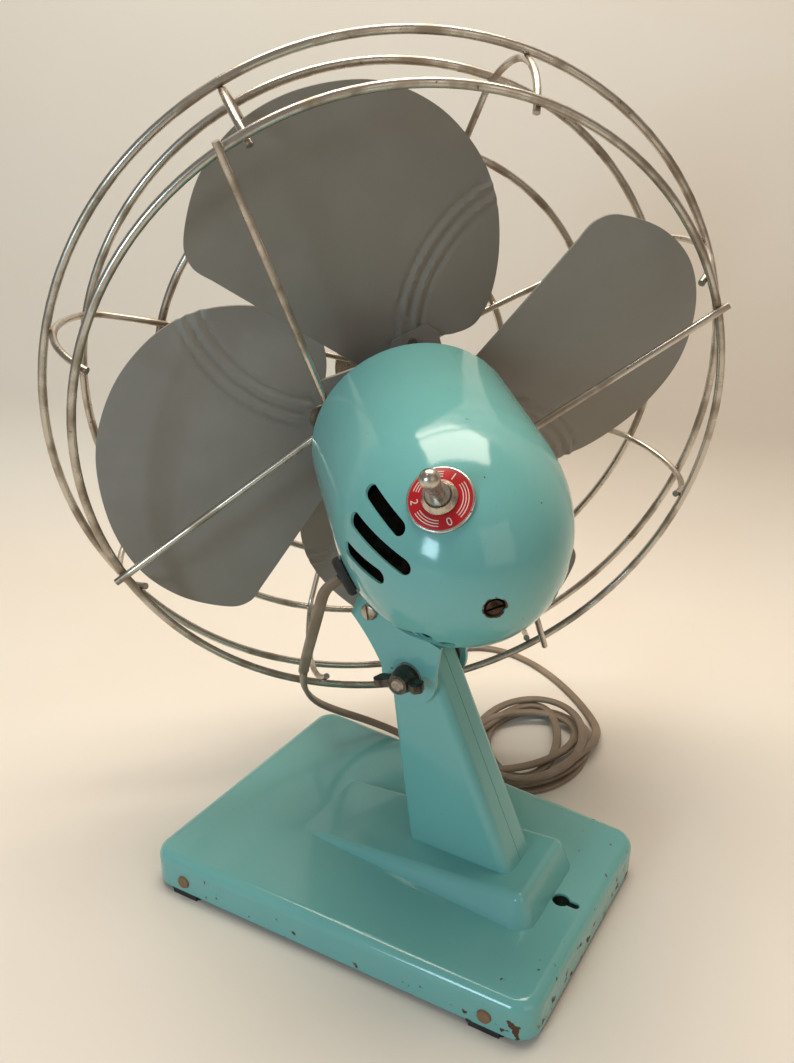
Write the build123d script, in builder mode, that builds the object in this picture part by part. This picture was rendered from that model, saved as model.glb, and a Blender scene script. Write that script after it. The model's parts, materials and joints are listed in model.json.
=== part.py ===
from build123d import *
import os
from math import asin, atan2, cos, degrees, hypot, pi, radians, sin, sqrt, tan

# A 12-inch desk fan: pressed-steel stand, tilting bracket, swivelling motor head, wire guard, blades and cord.
# Stand frame: +X is the fan's left, +Y its rear, +Z up, with the floor at z = 0 and the seam plane at x = 0.
# Bracket frame: origin on the pivot bolt, leaning back with the head; -Y is forward.
# Head frame: origin where the neck's axis meets the fan's axis; -Y is the way the air goes.

# Clearances
running_fit = 0.05
thread_fit = 0.02
free_gap = 0.3
weld_sink = 0.3
seat_gap = 0.1
cut_over = 1.0

# Base pan
sheet = 1.2
base_length = 200.0
base_front_width = 150.0
base_rear_width = 128.0
base_corner = 11.0
skirt_bottom = 3.0
base_top = 21.0
shoulder = 5.5
ramp_front = -50.0
ramp_rear = 81.0
ramp_start = -45.0
ramp_slope = 6.9
ramp_front_half = 24.0
ramp_rear_half = 29.0
ramp_flank = 22.0
ramp_corner = 9.0
ramp_edge = 4.0
keyhole_y = 85.0
keyhole_r = 4.0
keyhole_slot_r = 1.9
keyhole_travel = 7.0

# Feet
foot_end_gap = 21.0
foot_y = (foot_end_gap - base_length / 2, base_length / 2 - foot_end_gap)
foot_length = 18.0
foot_depth = 8.0
foot_height = 13.0
foot_corner = 2.0
foot_rivet_r = 2.4
foot_rivet_up = 6.0
foot_rivet_head_r = 3.3
foot_rivet_head = 1.1
foot_rivet_taper = 20.0

# Post
post_front = 8.0
post_rear = 64.0
post_front_half = 6.5
post_rear_half = 13.0
post_neck_half = 12.0
post_neck_z = 106.0
post_top_r = 12.0
post_front_round = 3.0
post_rear_round = 5.0
post_floor = 2.5
post_seam = 0.3
post_screw_r = 1.6
post_screw_proud = 1.0
post_screw_head_r = 3.2
post_screw_head = 2.0
post_trim = 2.0
spacer_wall = 3.0
post_screw_places = ((4.6, 26.0), (6.0, 50.0))

# Pivot and bracket
pivot_y = 11.0
pivot_z = 123.0
head_lean = 16.5
bolt_r = 3.2
bolt_proud = 1.2
bolt_chamfer = 0.8
bolt_head_r = 7.0
bolt_head = 4.5
bolt_head_round = 3.2
bolt_washer_r = 6.6
friction_washer = 1.0
friction_washer_r = 11.0
cheek = 2.0
cheek_r = 14.0
cheek_outline = ((5.0, -13.0), (-12.5, 4.0), (-10.0, 21.5), (34.5, 24.3), (35.5, 13.5))
cheek_hollow = (20.0, 2.9)
washer_thickness = 1.2
wing_nut_length = 8.0
wing_hub_r = 6.0
wing_waist = 4.0
wing_waist_r = 5.6
wing_hub_end_r = 4.6
wing_span = 25.0
wing_root_r = 4.2
wing_root = (1.5, 7.0)
wing_outline = ((3.0, 1.5), (8.0, 0.0), (10.5, 3.0))
wing_round = 2.0
wing_half = 1.7
wing_turn = 24.0
head_round_share = 0.4
slot_depth_share = 0.5
slot_width_share = 0.32
ear_slot_way = (0, -0.5, 1)
ear_screw_forward = 26.7
ear_screw_up = 19.8
ear_screw_r = 2.0
ear_screw_length = 10.0
ear_screw_head_r = 3.8
ear_screw_head = 2.4
block_rear = 3.0
block_front = 32.0
block_bottom = 13.0
block_top = 23.5

# Neck
neck_forward = 12.0
neck_length = 25.4
head_swivel = -45.0
stud_r = 5.0
pocket_r = 8.0
pocket_depth = 6.0
pocket_gap = 0.7
stud_recess = 0.5
stud_shoulder_r = 7.0
stud_boss_r = 8.0
stud_boss = 4.0
spot_face_r = 7.5
collar_r = 11.0
collar_gap = 0.2
swivel_washer_thickness = 1.2
swivel_nut_height = 3.6

# Motor housing
housing_r = 49.6
neck_up = housing_r + neck_length
housing_front = -62.0
dome_length = 67.0
housing_sheet = 1.1
stay_hole_r = 3.0
vent_groups = ((84.5, 45.0, 53.0), (166.0, 54.5, 57.0), (-95.5, 45.0, 53.0))
vent_step = 16.8
vent_width = 6.3
vent_start = 20.0
vent_root_r = 16.0
pole_screw_r = 2.0
pole_screw_length = 10.0
pole_head_r = 3.4
pole_head = 1.4
pole_hole_r = 4.3
pole_slot_way = (1, 0, -0.6)
stay_r = 5.0
stay_gap = 0.5
stay_thread = 12.0
grommet_angle = 126.0
grommet_y = 12.0
grommet_r = 7.0
grommet_flange = 1.8
grommet_proud = 3.7
grommet_depth = 2.2
grommet_round = 2.2

# Dial and switch
dial_angle = 39.0
dial_y = 43.6
dial_r = 12.6
dial_bend = 52.0
dial_lift = 0.5
dial_thickness = 1.0
switch_bush_r = 4.6
bush_gap = 0.2
switch_bush_proud = 4.2
switch_body_r = 8.5
switch_body_length = 18.0
switch_seat = -2.4
switch_nut_r = 6.8
switch_nut_top_r = 5.3
switch_nut_height = 3.4
switch_nut_flange = 1.1
switch_nut_bevel = 0.5
lever_neck_r = 2.7
lever_neck_top = 11.0
lever_ball_r = 3.8
lever_ball_height = 20.0
lever_start = -2.0

# Motor
plate_front = -62.5
plate_edge_gap = 0.5
plate_r = housing_r - housing_sheet - plate_edge_gap
plate_thickness = 2.5
bell_r = 40.0
bell_wall = 6.5
stator_front = -32.0
stator_rear = -10.0
stator_bore = 21.4
rotor_r = 21.0
rear_bell_end = 12.0
rear_bell_floor = 3.0
shaft_r = 4.0
bush_r = 8.0
hub_r = 13.0
through_bolt_circle = 36.7
through_bolt_r = 1.5
through_bolt_head_r = 3.0
through_bolt_head = 2.0
bolt_angles = (45.0, 135.0, 225.0, 315.0)
front_hub_proud = 2.0
front_hub_end = -46.0
rear_hub_start = 0.0
rear_hub_end = 18.0
rear_bush_end = 14.0
bush_seat = 1.5
winding_length = 9.0
winding_gap = 1.0
winding_room = 5.0

# Guard
ring_wire = 2.0
rib_wire = 1.65
arm_wire = 1.75
ring_c_r = 155.0
ring_c_y = -64.0
ring_a_r = 170.0
ring_a_y = -98.0
ring_b_y = -132.5
ring_d_r = 119.0
ring_e_r = 70.0
rib_count = 8
rib_first = -4.0
rib_side_bend = 42.7
rib_corner_bend = 14.0
rib_front_heading = 75.0
rib_tail_angle = 52.0
badge_r = 25.0
badge_rim = 1.0
badge_bevel_width = 2.0
badge_bevel = 1.2
badge_crown = 0.4
rib_inset = 7.0
arm_axes = (85.7, -95.5)
arm_spread = 41.0
arm_end_r = 159.0
arm_apex_inset = 8.0
arm_apex_r = plate_r - arm_apex_inset
arm_bend = 4.2
arm_knee_gap = 6.4
arm_knee_r = housing_r + arm_knee_gap
arm_knee_bend = 15.0
arm_half_angle = 52.3
arm_screw_r = 2.0
arm_screw_length = 8.0
arm_screw_head_r = 4.2
arm_screw_head = 2.6
arm_slot_way = (1, 0, 0.4)
clamp_washer_r = 6.5

# Rotor
blade_count = 4
blade_first = 31.0
blade_sheet = 1.3
blade_tip_r = 156.0
blade_rear_y = -79.0
blade_front_y = -119.0
blade_camber = 5.0
blade_lead = 67.0
blade_trail = -76.0
blade_spare = 6.0
blade_margin = 12.0
blade_edge = (
    (-27, 31),
    (-37, 26.5),
    (-50, 26),
    (-62, 36.5),
    (-71.5, 56),
    (-75.5, 80),
    (-70.5, 104.5),
    (-56, 129),
    (-32, 148),
    (0, blade_tip_r),
    (28, 153),
    (50, 140),
    (65, 120),
    (66.5, 108),
    (60.5, 99),
)
blade_root = ((14, 36), (10, 21), (-24, 21))
spider_sheet = 1.8
spider_arm = ((-29, 4), (-29, 33), (-24, 39), (-6, 39), (-1, 33), (-1, 4))
rivet_r = 2.2
rivet_places = ((-21, 27), (-9, 27), (-15, 34))
rivet_proud = 1.8
boss_r = 12.0
boss_front = -112.0
boss_rear = -78.0
boss_cap = 3.0
boss_bevel = 3.0
shaft_tail = 0.8
set_screw_r = 2.5
set_screw_back = 5.0
set_screw_proud = 0.6
set_slot_depth = 1.4
set_slot_width = 0.8

# Cord and plug
cord_d = 4.2
cord_exit = 4.5
bend_share = 0.45
hank_gap = 0.8
hank_run = 22.0
hank_bend = 33.0
hank_half_turns = 5
hank_centre = (-126.0, 11.0)
plug_taper_length = 15.6
plug_grip_length = 10.4
plug_width = 20.0
plug_height = 13.0
plug_neck_width = 13.4
plug_neck_height = 8.6
pin_pitch = 12.7
pin_thickness = 1.5
pin_width = 6.3
pin_length = 17.0
sample_step = 2.0
sample_apart = 50.0

pieces = {}


def keep_piece(part, name, frame=Location()):
    """Label a finished piece and move it from its own frame to the stand's."""
    part.label = name
    pieces[name] = part.moved(frame)


def around(angle):
    """Direction from the fan's axis at an angle, measured from the head's top towards its left."""
    return Vector(sin(radians(angle)), 0, cos(radians(angle)))


def polar(angle, radius):
    """The same direction at a radius, as x and z on a plane square to the fan's axis."""
    return (radius * sin(radians(angle)), radius * cos(radians(angle)))


# Frames
bracket_frame = Location((0, pivot_y, pivot_z), (-head_lean, 0, 0))
head_frame = bracket_frame * Location((0, -neck_forward, neck_up), (0, 0, head_swivel))
ramp_top = Plane((0, ramp_start, base_top), x_dir=(1, 0, 0), z_dir=Vector(0, 0, 1).rotate(Axis.X, ramp_slope))
cheek_inner = post_neck_half + friction_washer
cheek_outer = cheek_inner + cheek
nut_seat = cheek_outer + washer_thickness


def ramp_height(y):
    """Height of the ramp's top face above the floor."""
    return base_top + (y - ramp_start) * tan(radians(ramp_slope))


# Base pan: one deep-drawn sheet with a rolled shoulder and a ramp that rises under the post
def pan_form(inset):
    """Solid inside the pan's outer face, or inside that face moved in by inset."""
    grow = (base_top - skirt_bottom) * tan(radians(ramp_flank))
    with BuildPart() as ramp:
        with BuildSketch(Plane.XY.offset(skirt_bottom - inset)):
            with BuildLine():
                Polyline(
                    (-ramp_front_half - grow, ramp_front - grow),
                    (ramp_front_half + grow, ramp_front - grow),
                    (ramp_rear_half + grow, ramp_rear + grow),
                    (-ramp_rear_half - grow, ramp_rear + grow),
                    close=True,
                )
            make_face()
            fillet(vertices(), ramp_corner + grow)
            if inset:
                offset(amount=-inset, mode=Mode.REPLACE)
        extrude(amount=ramp_height(ramp_rear) - skirt_bottom + ramp_edge, taper=ramp_flank)
        split(bisect_by=ramp_top.offset(-inset), keep=Keep.BOTTOM)
        fillet(ramp.faces().sort_by(Axis.Z)[-1].edges(), ramp_edge - inset)
    with BuildPart() as form:
        with BuildSketch(Plane.XY.offset(skirt_bottom - inset)):
            with BuildLine():
                Polyline(
                    (-base_front_width / 2, -base_length / 2),
                    (base_front_width / 2, -base_length / 2),
                    (base_rear_width / 2, base_length / 2),
                    (-base_rear_width / 2, base_length / 2),
                    close=True,
                )
            make_face()
            fillet(vertices(), base_corner)
            if inset:
                offset(amount=-inset, mode=Mode.REPLACE)
        extrude(amount=base_top - skirt_bottom)
        fillet(form.faces().sort_by(Axis.Z)[-1].edges(), shoulder - inset)
        add(ramp.part)
    return form.part


def skirt_plane(side, y):
    """Plane on the skirt's inner face at a foot: x runs along the skirt and z points out of the pan."""
    lean = atan2((base_front_width - base_rear_width) / 2, base_length)
    half = base_front_width / 2 - (y + base_length / 2) * tan(lean)
    outward = Vector(side * cos(lean), sin(lean), 0)
    origin = Vector(side * half, y, skirt_bottom) - outward * sheet
    return Plane(origin, x_dir=outward.cross(Vector(0, 0, 1)) * -1, z_dir=outward)


foot_planes = [skirt_plane(side, y) for side in (1, -1) for y in foot_y]

pan_outer = pan_form(0)
pan_inner = pan_form(sheet)
with BuildPart() as base_pan:
    add(pan_outer)
    add(pan_inner, mode=Mode.SUBTRACT)
    with BuildSketch(Plane.XY.offset(base_top - 2 * sheet)):
        with Locations((0, keyhole_y)):
            Circle(keyhole_r)
        with Locations((0, keyhole_y + keyhole_travel)):
            Circle(keyhole_slot_r)
        with Locations((0, keyhole_y + keyhole_travel / 2)):
            Rectangle(2 * keyhole_slot_r, keyhole_travel)
    extrude(amount=4 * sheet, mode=Mode.SUBTRACT)
    for plane in foot_planes:
        with BuildSketch(plane.offset(-sheet)):
            with Locations((0, plane.y_dir.Z * foot_rivet_up)):
                Circle(foot_rivet_r + running_fit)
        extrude(amount=3 * sheet, mode=Mode.SUBTRACT)
    for side in (1, -1):
        for x, y in post_screw_places:
            with BuildSketch(ramp_top.offset(-3 * sheet)):
                with Locations((side * x, y - ramp_start)):
                    Circle(post_screw_r + running_fit)
            extrude(amount=6 * sheet, mode=Mode.SUBTRACT)
keep_piece(base_pan.part, "base_pan")

# Feet: rubber blocks inside the skirt with a lip under its edge, each held by a tan rivet
with BuildPart() as rubber_feet:
    for plane in foot_planes:
        up = plane.y_dir.Z
        with BuildSketch(plane.offset(-foot_depth)):
            with Locations((0, up * (foot_height / 2 - skirt_bottom))):
                RectangleRounded(foot_length, foot_height, foot_corner)
        extrude(amount=foot_depth)
        with BuildSketch(plane):
            with Locations((0, up * -skirt_bottom / 2)):
                Rectangle(foot_length - 2 * foot_corner, skirt_bottom)
        extrude(amount=sheet)
        with BuildSketch(plane.offset(-foot_depth / 2)):
            with Locations((0, up * foot_rivet_up)):
                Circle(foot_rivet_r)
        extrude(amount=foot_depth / 2, mode=Mode.SUBTRACT)
keep_piece(rubber_feet.part, "rubber_feet")

with BuildPart() as foot_rivets:
    for plane in foot_planes:
        up = plane.y_dir.Z
        with BuildSketch(plane.offset(-foot_depth / 2)):
            with Locations((0, up * foot_rivet_up)):
                Circle(foot_rivet_r)
        extrude(amount=foot_depth / 2 + sheet)
        with BuildSketch(plane.offset(sheet)):
            with Locations((0, up * foot_rivet_up)):
                Circle(foot_rivet_head_r)
        extrude(amount=foot_rivet_head, taper=foot_rivet_taper)
keep_piece(foot_rivets.part, "foot_rivets")


# Post: two pressed halves that meet at a seam, narrow in front and wider behind
def tangent_lean(y, z, side):
    """Lean dy/dz of the line from a foot point to the post's rounded top, on its front (1) or rear (-1) side."""
    across = pivot_y - y
    rise = pivot_z - z
    heading = atan2(rise, across) + side * asin(post_top_r / hypot(across, rise))
    return 1 / tan(heading)


front_foot_z = ramp_height(post_front)
rear_foot_z = ramp_height(post_rear)
front_lean = tangent_lean(post_front, front_foot_z, 1)
rear_lean = tangent_lean(post_rear, rear_foot_z, -1)


def post_section(z, half_front, half_rear, inset):
    """Rounded outline of the post at one height."""
    front = post_front + (z - front_foot_z) * front_lean
    rear = post_rear + (z - rear_foot_z) * rear_lean
    with BuildSketch(Plane.XY.offset(z)) as outline:
        with BuildLine():
            Polyline(
                (-half_front, front),
                (half_front, front),
                (half_rear, rear),
                (-half_rear, rear),
                close=True,
            )
        make_face()
        fillet(outline.vertices().group_by(Axis.Y)[-1], post_rear_round)
        fillet(outline.vertices().group_by(Axis.Y)[0], post_front_round)
        if inset:
            offset(amount=-inset, mode=Mode.REPLACE)
    return outline.sketch


def post_form(inset, floor):
    """Solid inside the post's outer face moved in by inset, standing a floor's thickness above the ramp."""
    low = base_top
    high = pivot_z + post_top_r + post_trim
    stations = [
        post_section(low, post_front_half, post_rear_half, inset),
        post_section(post_neck_z, post_neck_half, post_neck_half, inset),
        post_section(high, post_neck_half, post_neck_half, inset),
    ]
    with BuildPart() as form:
        loft(stations, ruled=True)
        with BuildSketch(Plane.YZ):
            with BuildLine():
                Line(
                    (post_front - post_trim, ramp_height(post_front - post_trim) + floor),
                    (post_rear + post_trim, ramp_height(post_rear + post_trim) + floor),
                )
                CenterArc((pivot_y, pivot_z), post_top_r - inset, 0, 360)
            make_hull()
        extrude(amount=2 * post_rear_half, both=True, mode=Mode.INTERSECT)
    return form.part


post_outer = post_form(0, 0)
post_inner = post_form(sheet, post_floor)
for side, name in ((1, "post_left"), (-1, "post_right")):
    with BuildPart() as post_half:
        add(post_outer)
        add(post_inner, mode=Mode.SUBTRACT)
        with BuildSketch(Plane.YZ):
            with Locations((pivot_y, pivot_z)):
                Circle(bolt_r + free_gap)
        extrude(amount=2 * post_neck_half, both=True, mode=Mode.SUBTRACT)
        for x, y in post_screw_places:
            with BuildSketch(ramp_top):
                with Locations((side * x, y - ramp_start)):
                    Circle(post_screw_r + thread_fit)
            extrude(amount=2 * post_floor, mode=Mode.SUBTRACT)
        split(
            bisect_by=Plane.YZ.offset(side * post_seam / 2),
            keep=Keep.TOP if side > 0 else Keep.BOTTOM,
        )
    keep_piece(post_half.part, name)

with BuildPart() as post_screws:
    for side in (1, -1):
        for x, y in post_screw_places:
            with BuildSketch(ramp_top.offset(-sheet)):
                with Locations((side * x, y - ramp_start)):
                    Circle(post_screw_r)
            extrude(amount=sheet + post_floor + post_screw_proud)
            with BuildSketch(ramp_top.offset(-sheet)):
                with Locations((side * x, y - ramp_start)):
                    Circle(post_screw_head_r)
            extrude(amount=-post_screw_head)
keep_piece(post_screws.part, "post_screws")

spacer_half = post_neck_half - sheet - running_fit
with BuildPart() as pivot_spacer:
    with BuildSketch(Plane.YZ.offset(-spacer_half)):
        with Locations((pivot_y, pivot_z)):
            Circle(bolt_r + spacer_wall)
            Circle(bolt_r + free_gap, mode=Mode.SUBTRACT)
    extrude(amount=2 * spacer_half)
keep_piece(pivot_spacer.part, "pivot_spacer")


# Tilt bracket: two cheek plates with forward ears, joined by the neck block
def side_plane(x):
    """Plane across the bolt with its x axis forward; extruding goes towards the fan's right."""
    return Plane((x, 0, 0), x_dir=(0, -1, 0), z_dir=(-1, 0, 0))


def cheek_plate(outer_face):
    """Cheek plate whose left face is at outer_face."""
    with BuildPart() as plate:
        with BuildSketch(side_plane(outer_face)):
            with BuildLine():
                Polyline(*cheek_outline)
                ThreePointArc(cheek_outline[-1], cheek_hollow, cheek_outline[0])
            make_face()
            Circle(cheek_r)
            Circle(bolt_r + running_fit, mode=Mode.SUBTRACT)
            with Locations((ear_screw_forward, ear_screw_up)):
                Circle(ear_screw_r + running_fit, mode=Mode.SUBTRACT)
        extrude(amount=cheek)
    return plate.part


keep_piece(cheek_plate(cheek_outer), "bracket_left", bracket_frame)
keep_piece(cheek_plate(-cheek_inner), "bracket_right", bracket_frame)

with BuildPart() as neck_block:
    with BuildSketch(side_plane(cheek_inner)):
        with Locations(((block_front + block_rear) / 2, (block_top + block_bottom) / 2)):
            Rectangle(block_front - block_rear, block_top - block_bottom)
        with Locations((ear_screw_forward, ear_screw_up)):
            Circle(ear_screw_r + thread_fit, mode=Mode.SUBTRACT)
    extrude(amount=2 * cheek_inner)
    with BuildSketch(Plane.XY.offset(block_bottom)):
        with Locations((0, -neck_forward)):
            Circle(pocket_r)
    extrude(amount=pocket_depth, mode=Mode.SUBTRACT)
    with BuildSketch(Plane.XY.offset(block_bottom)):
        with Locations((0, -neck_forward)):
            Circle(stud_r + running_fit)
    extrude(amount=2 * neck_forward, mode=Mode.SUBTRACT)
keep_piece(neck_block.part, "neck_block", bracket_frame)


# Screws with a slotted head, used on the bracket's ears
def slotted_screw(plane, shank_r, shank_length, head_r, head_height):
    """Screw with its head's seat on the plane and its shank going in against the plane's normal."""
    with BuildPart() as screw:
        with BuildSketch(plane):
            Circle(shank_r)
        extrude(amount=-shank_length)
        with BuildSketch(plane):
            Circle(head_r)
        extrude(amount=head_height)
        fillet(screw.faces().sort_by(Axis(plane.origin, plane.z_dir))[-1].edges(), head_height * head_round_share)
        with BuildSketch(plane.offset(head_height * slot_depth_share)):
            Rectangle(3 * head_r, head_r * slot_width_share)
        extrude(amount=head_height, mode=Mode.SUBTRACT)
    return screw.part


ear_seats = [
    Plane((side * cheek_outer, -ear_screw_forward, ear_screw_up), x_dir=ear_slot_way, z_dir=(side, 0, 0))
    for side in (1, -1)
]
ear_screw_pair = [
    slotted_screw(seat, ear_screw_r, ear_screw_length, ear_screw_head_r, ear_screw_head) for seat in ear_seats
]
with BuildPart() as ear_screws:
    add(ear_screw_pair)
keep_piece(ear_screws.part, "ear_screws", bracket_frame)

# Pivot bolt with its washers, and the wing nut on its left end
bolt_end = nut_seat + wing_nut_length + bolt_proud
with BuildPart() as pivot_bolt:
    with BuildSketch(Plane.YZ.offset(-nut_seat)):
        Circle(bolt_r)
    extrude(amount=nut_seat + bolt_end)
    chamfer(pivot_bolt.faces().sort_by(Axis.X)[-1].edges(), bolt_chamfer)
    with BuildSketch(Plane.YZ.offset(-nut_seat)):
        Circle(bolt_head_r)
    extrude(amount=-bolt_head)
    fillet(pivot_bolt.faces().sort_by(Axis.X)[0].edges(), bolt_head_round)
keep_piece(pivot_bolt.part, "pivot_bolt", bracket_frame)

with BuildPart() as friction_washers:
    for side in (1, -1):
        with BuildSketch(Plane.YZ.offset(side * (post_neck_half + running_fit))):
            Circle(friction_washer_r)
            Circle(bolt_r + running_fit, mode=Mode.SUBTRACT)
        extrude(amount=side * (friction_washer - running_fit))
keep_piece(friction_washers.part, "friction_washers", bracket_frame)

with BuildPart() as bolt_washers:
    for side in (1, -1):
        with BuildSketch(Plane.YZ.offset(side * cheek_outer)):
            Circle(bolt_washer_r)
            Circle(bolt_r + running_fit, mode=Mode.SUBTRACT)
        extrude(amount=side * washer_thickness)
keep_piece(bolt_washers.part, "bolt_washers", bracket_frame)

wing_start = nut_seat + free_gap
wing_plane = Plane.XY.rotated((wing_turn, 0, 0))
with BuildPart() as wing_nut:
    with BuildSketch(Plane.XY):
        with BuildLine():
            Polyline(
                (wing_start, bolt_r + running_fit),
                (wing_start, wing_hub_r),
                (wing_start + wing_waist, wing_waist_r),
                (wing_start + wing_nut_length, wing_hub_end_r),
                (wing_start + wing_nut_length, bolt_r + running_fit),
                close=True,
            )
        make_face()
    revolve(axis=Axis.X)
    for side in (1, -1):
        with BuildSketch(wing_plane) as wing:
            with BuildLine():
                Polyline(
                    (wing_start + wing_root[0], side * wing_root_r),
                    *[(wing_start + along, side * (wing_span / 2 - inset)) for along, inset in wing_outline],
                    (wing_start + wing_root[1], side * wing_root_r),
                    close=True,
                )
            make_face()
            fillet([v for v in wing.vertices() if abs(v.Y) > wing_hub_r], wing_round)
        extrude(amount=wing_half, both=True)
keep_piece(wing_nut.part, "wing_nut", bracket_frame)

# Neck: a stud with a collar under the housing, its spring washer and its nut in the block's pocket
block_top_z = block_top - neck_up
pocket_z = block_bottom + pocket_depth - neck_up
collar_top = -housing_r - collar_gap
washer_z = pocket_z - running_fit
with BuildPart() as swivel_stud:
    with BuildSketch(Plane.XZ):
        with BuildLine():
            Polyline(
                (0, block_bottom + stud_recess - neck_up),
                (stud_r, block_bottom + stud_recess - neck_up),
                (stud_r, block_top_z + running_fit),
                (collar_r, block_top_z + running_fit),
                (collar_r, collar_top),
                (stud_shoulder_r, collar_top),
                (stud_shoulder_r, -bell_r),
                (stud_r, -bell_r),
                (stud_r, bell_wall + stud_boss - bell_r),
                (0, bell_wall + stud_boss - bell_r),
                close=True,
            )
        make_face()
    revolve(axis=Axis.Z)
keep_piece(swivel_stud.part, "swivel_stud", head_frame)

with BuildPart() as swivel_washer:
    with BuildSketch(Plane.XY.offset(washer_z)):
        Circle(pocket_r - pocket_gap)
        Circle(stud_r + running_fit, mode=Mode.SUBTRACT)
    extrude(amount=-swivel_washer_thickness)
keep_piece(swivel_washer.part, "swivel_washer", head_frame)

with BuildPart() as swivel_nut:
    with BuildSketch(Plane.XY.offset(washer_z - swivel_washer_thickness)):
        RegularPolygon(pocket_r - pocket_gap, 6)
        Circle(stud_r + thread_fit, mode=Mode.SUBTRACT)
    extrude(amount=-swivel_nut_height)
keep_piece(swivel_nut.part, "swivel_nut", head_frame)


# Motor: everything turned about the fan's axis is drawn as radius over y and revolved
def turned(points):
    """Solid of revolution about the fan's axis from (y, radius) points."""
    with BuildPart() as body:
        with BuildSketch(Plane.YZ):
            with BuildLine():
                Polyline(*points, close=True)
            make_face()
        revolve(axis=Axis.Y)
    return body.part


front_hub_start = plate_front - front_hub_proud
arm_y = plate_front - arm_wire - running_fit
arm_screw_radius = arm_apex_r + arm_bend / sin(radians(arm_half_angle))

front_bell_form = turned(
    [
        (front_hub_start, bush_r),
        (front_hub_start, hub_r),
        (plate_front, hub_r),
        (plate_front, plate_r),
        (plate_front + plate_thickness, plate_r),
        (plate_front + plate_thickness, bell_r),
        (stator_front, bell_r),
        (stator_front, bell_r - bell_wall),
        (plate_front + plate_thickness, bell_r - bell_wall),
        (plate_front + plate_thickness, hub_r),
        (front_hub_end, hub_r),
        (front_hub_end, bush_r),
    ]
)
with BuildPart() as motor_front_bell:
    add(front_bell_form)
    for angle in bolt_angles:
        with BuildSketch(Plane.XZ.offset(cut_over - plate_front)):
            with Locations(polar(angle, through_bolt_circle)):
                Circle(through_bolt_r + running_fit)
        extrude(amount=plate_front - stator_front - 2 * cut_over, mode=Mode.SUBTRACT)
    for angle in arm_axes:
        with BuildSketch(Plane.XZ.offset(cut_over - plate_front)):
            with Locations(polar(angle, arm_screw_radius)):
                Circle(arm_screw_r + thread_fit)
        extrude(amount=-plate_thickness - 2 * cut_over, mode=Mode.SUBTRACT)
keep_piece(motor_front_bell.part, "motor_front_bell", head_frame)

rear_bell_form = turned(
    [
        (stator_rear, bell_r - bell_wall),
        (stator_rear, bell_r),
        (rear_bell_end, bell_r),
        (rear_bell_end, hub_r),
        (rear_hub_end, hub_r),
        (rear_hub_end, stay_hole_r),
        (rear_bush_end + bush_seat, stay_hole_r),
        (rear_bush_end + bush_seat, bush_r),
        (rear_hub_start, bush_r),
        (rear_hub_start, hub_r),
        (rear_bell_end - rear_bell_floor, hub_r),
        (rear_bell_end - rear_bell_floor, bell_r - bell_wall),
    ]
)
with BuildPart() as motor_rear_bell:
    add(rear_bell_form)
    with BuildSketch(Plane.XY.offset(cut_over - bell_r)):
        Circle(stud_boss_r)
    extrude(amount=bell_wall + stud_boss - cut_over)
    with BuildSketch(Plane.XY.offset(-bell_r - cut_over)):
        Circle(stud_r + thread_fit)
    extrude(amount=bell_wall + stud_boss + 2 * cut_over, mode=Mode.SUBTRACT)
    with BuildSketch(Plane.XY.offset(-bell_r - cut_over)):
        Circle(spot_face_r)
    extrude(amount=cut_over + thread_fit, mode=Mode.SUBTRACT)
    for angle in bolt_angles:
        with BuildSketch(Plane.XZ.offset(cut_over - stator_rear)):
            with Locations(polar(angle, through_bolt_circle)):
                Circle(through_bolt_r + running_fit)
        extrude(amount=stator_rear - rear_bell_end - 2 * cut_over, mode=Mode.SUBTRACT)
keep_piece(motor_rear_bell.part, "motor_rear_bell", head_frame)

stator_form = turned(
    [
        (stator_front, stator_bore),
        (stator_front, bell_r),
        (stator_rear, bell_r),
        (stator_rear, stator_bore),
    ]
)
with BuildPart() as stator_core:
    add(stator_form)
    for angle in bolt_angles:
        with BuildSketch(Plane.XZ.offset(cut_over - stator_front)):
            with Locations(polar(angle, through_bolt_circle)):
                Circle(through_bolt_r + running_fit)
        extrude(amount=stator_front - stator_rear - 2 * cut_over, mode=Mode.SUBTRACT)
keep_piece(stator_core.part, "stator_core", head_frame)

winding_inner = stator_bore + winding_gap
winding_outer = bell_r - bell_wall - winding_room
winding_spans = ((stator_front - winding_length, stator_front), (stator_rear, stator_rear + winding_length))
winding_rings = [
    turned([(start, winding_inner), (start, winding_outer), (end, winding_outer), (end, winding_inner)])
    for start, end in winding_spans
]
with BuildPart() as stator_windings:
    add(winding_rings)
keep_piece(stator_windings.part, "stator_windings", head_frame)

for name, start, end in (
    ("front_bearing", front_hub_start, front_hub_end),
    ("rear_bearing", rear_hub_start, rear_bush_end),
):
    bush = turned(
        [
            (start, shaft_r + running_fit),
            (start, bush_r),
            (end, bush_r),
            (end, shaft_r + running_fit),
        ]
    )
    keep_piece(bush, name, head_frame)

with BuildPart() as through_bolts:
    for angle in bolt_angles:
        with BuildSketch(Plane.XZ.offset(-plate_front)):
            with Locations(polar(angle, through_bolt_circle)):
                Circle(through_bolt_r)
        extrude(amount=plate_front - rear_bell_end)
        with BuildSketch(Plane.XZ.offset(-plate_front)):
            with Locations(polar(angle, through_bolt_circle)):
                Circle(through_bolt_head_r)
        extrude(amount=through_bolt_head)
keep_piece(through_bolts.part, "through_bolts", head_frame)

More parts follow.
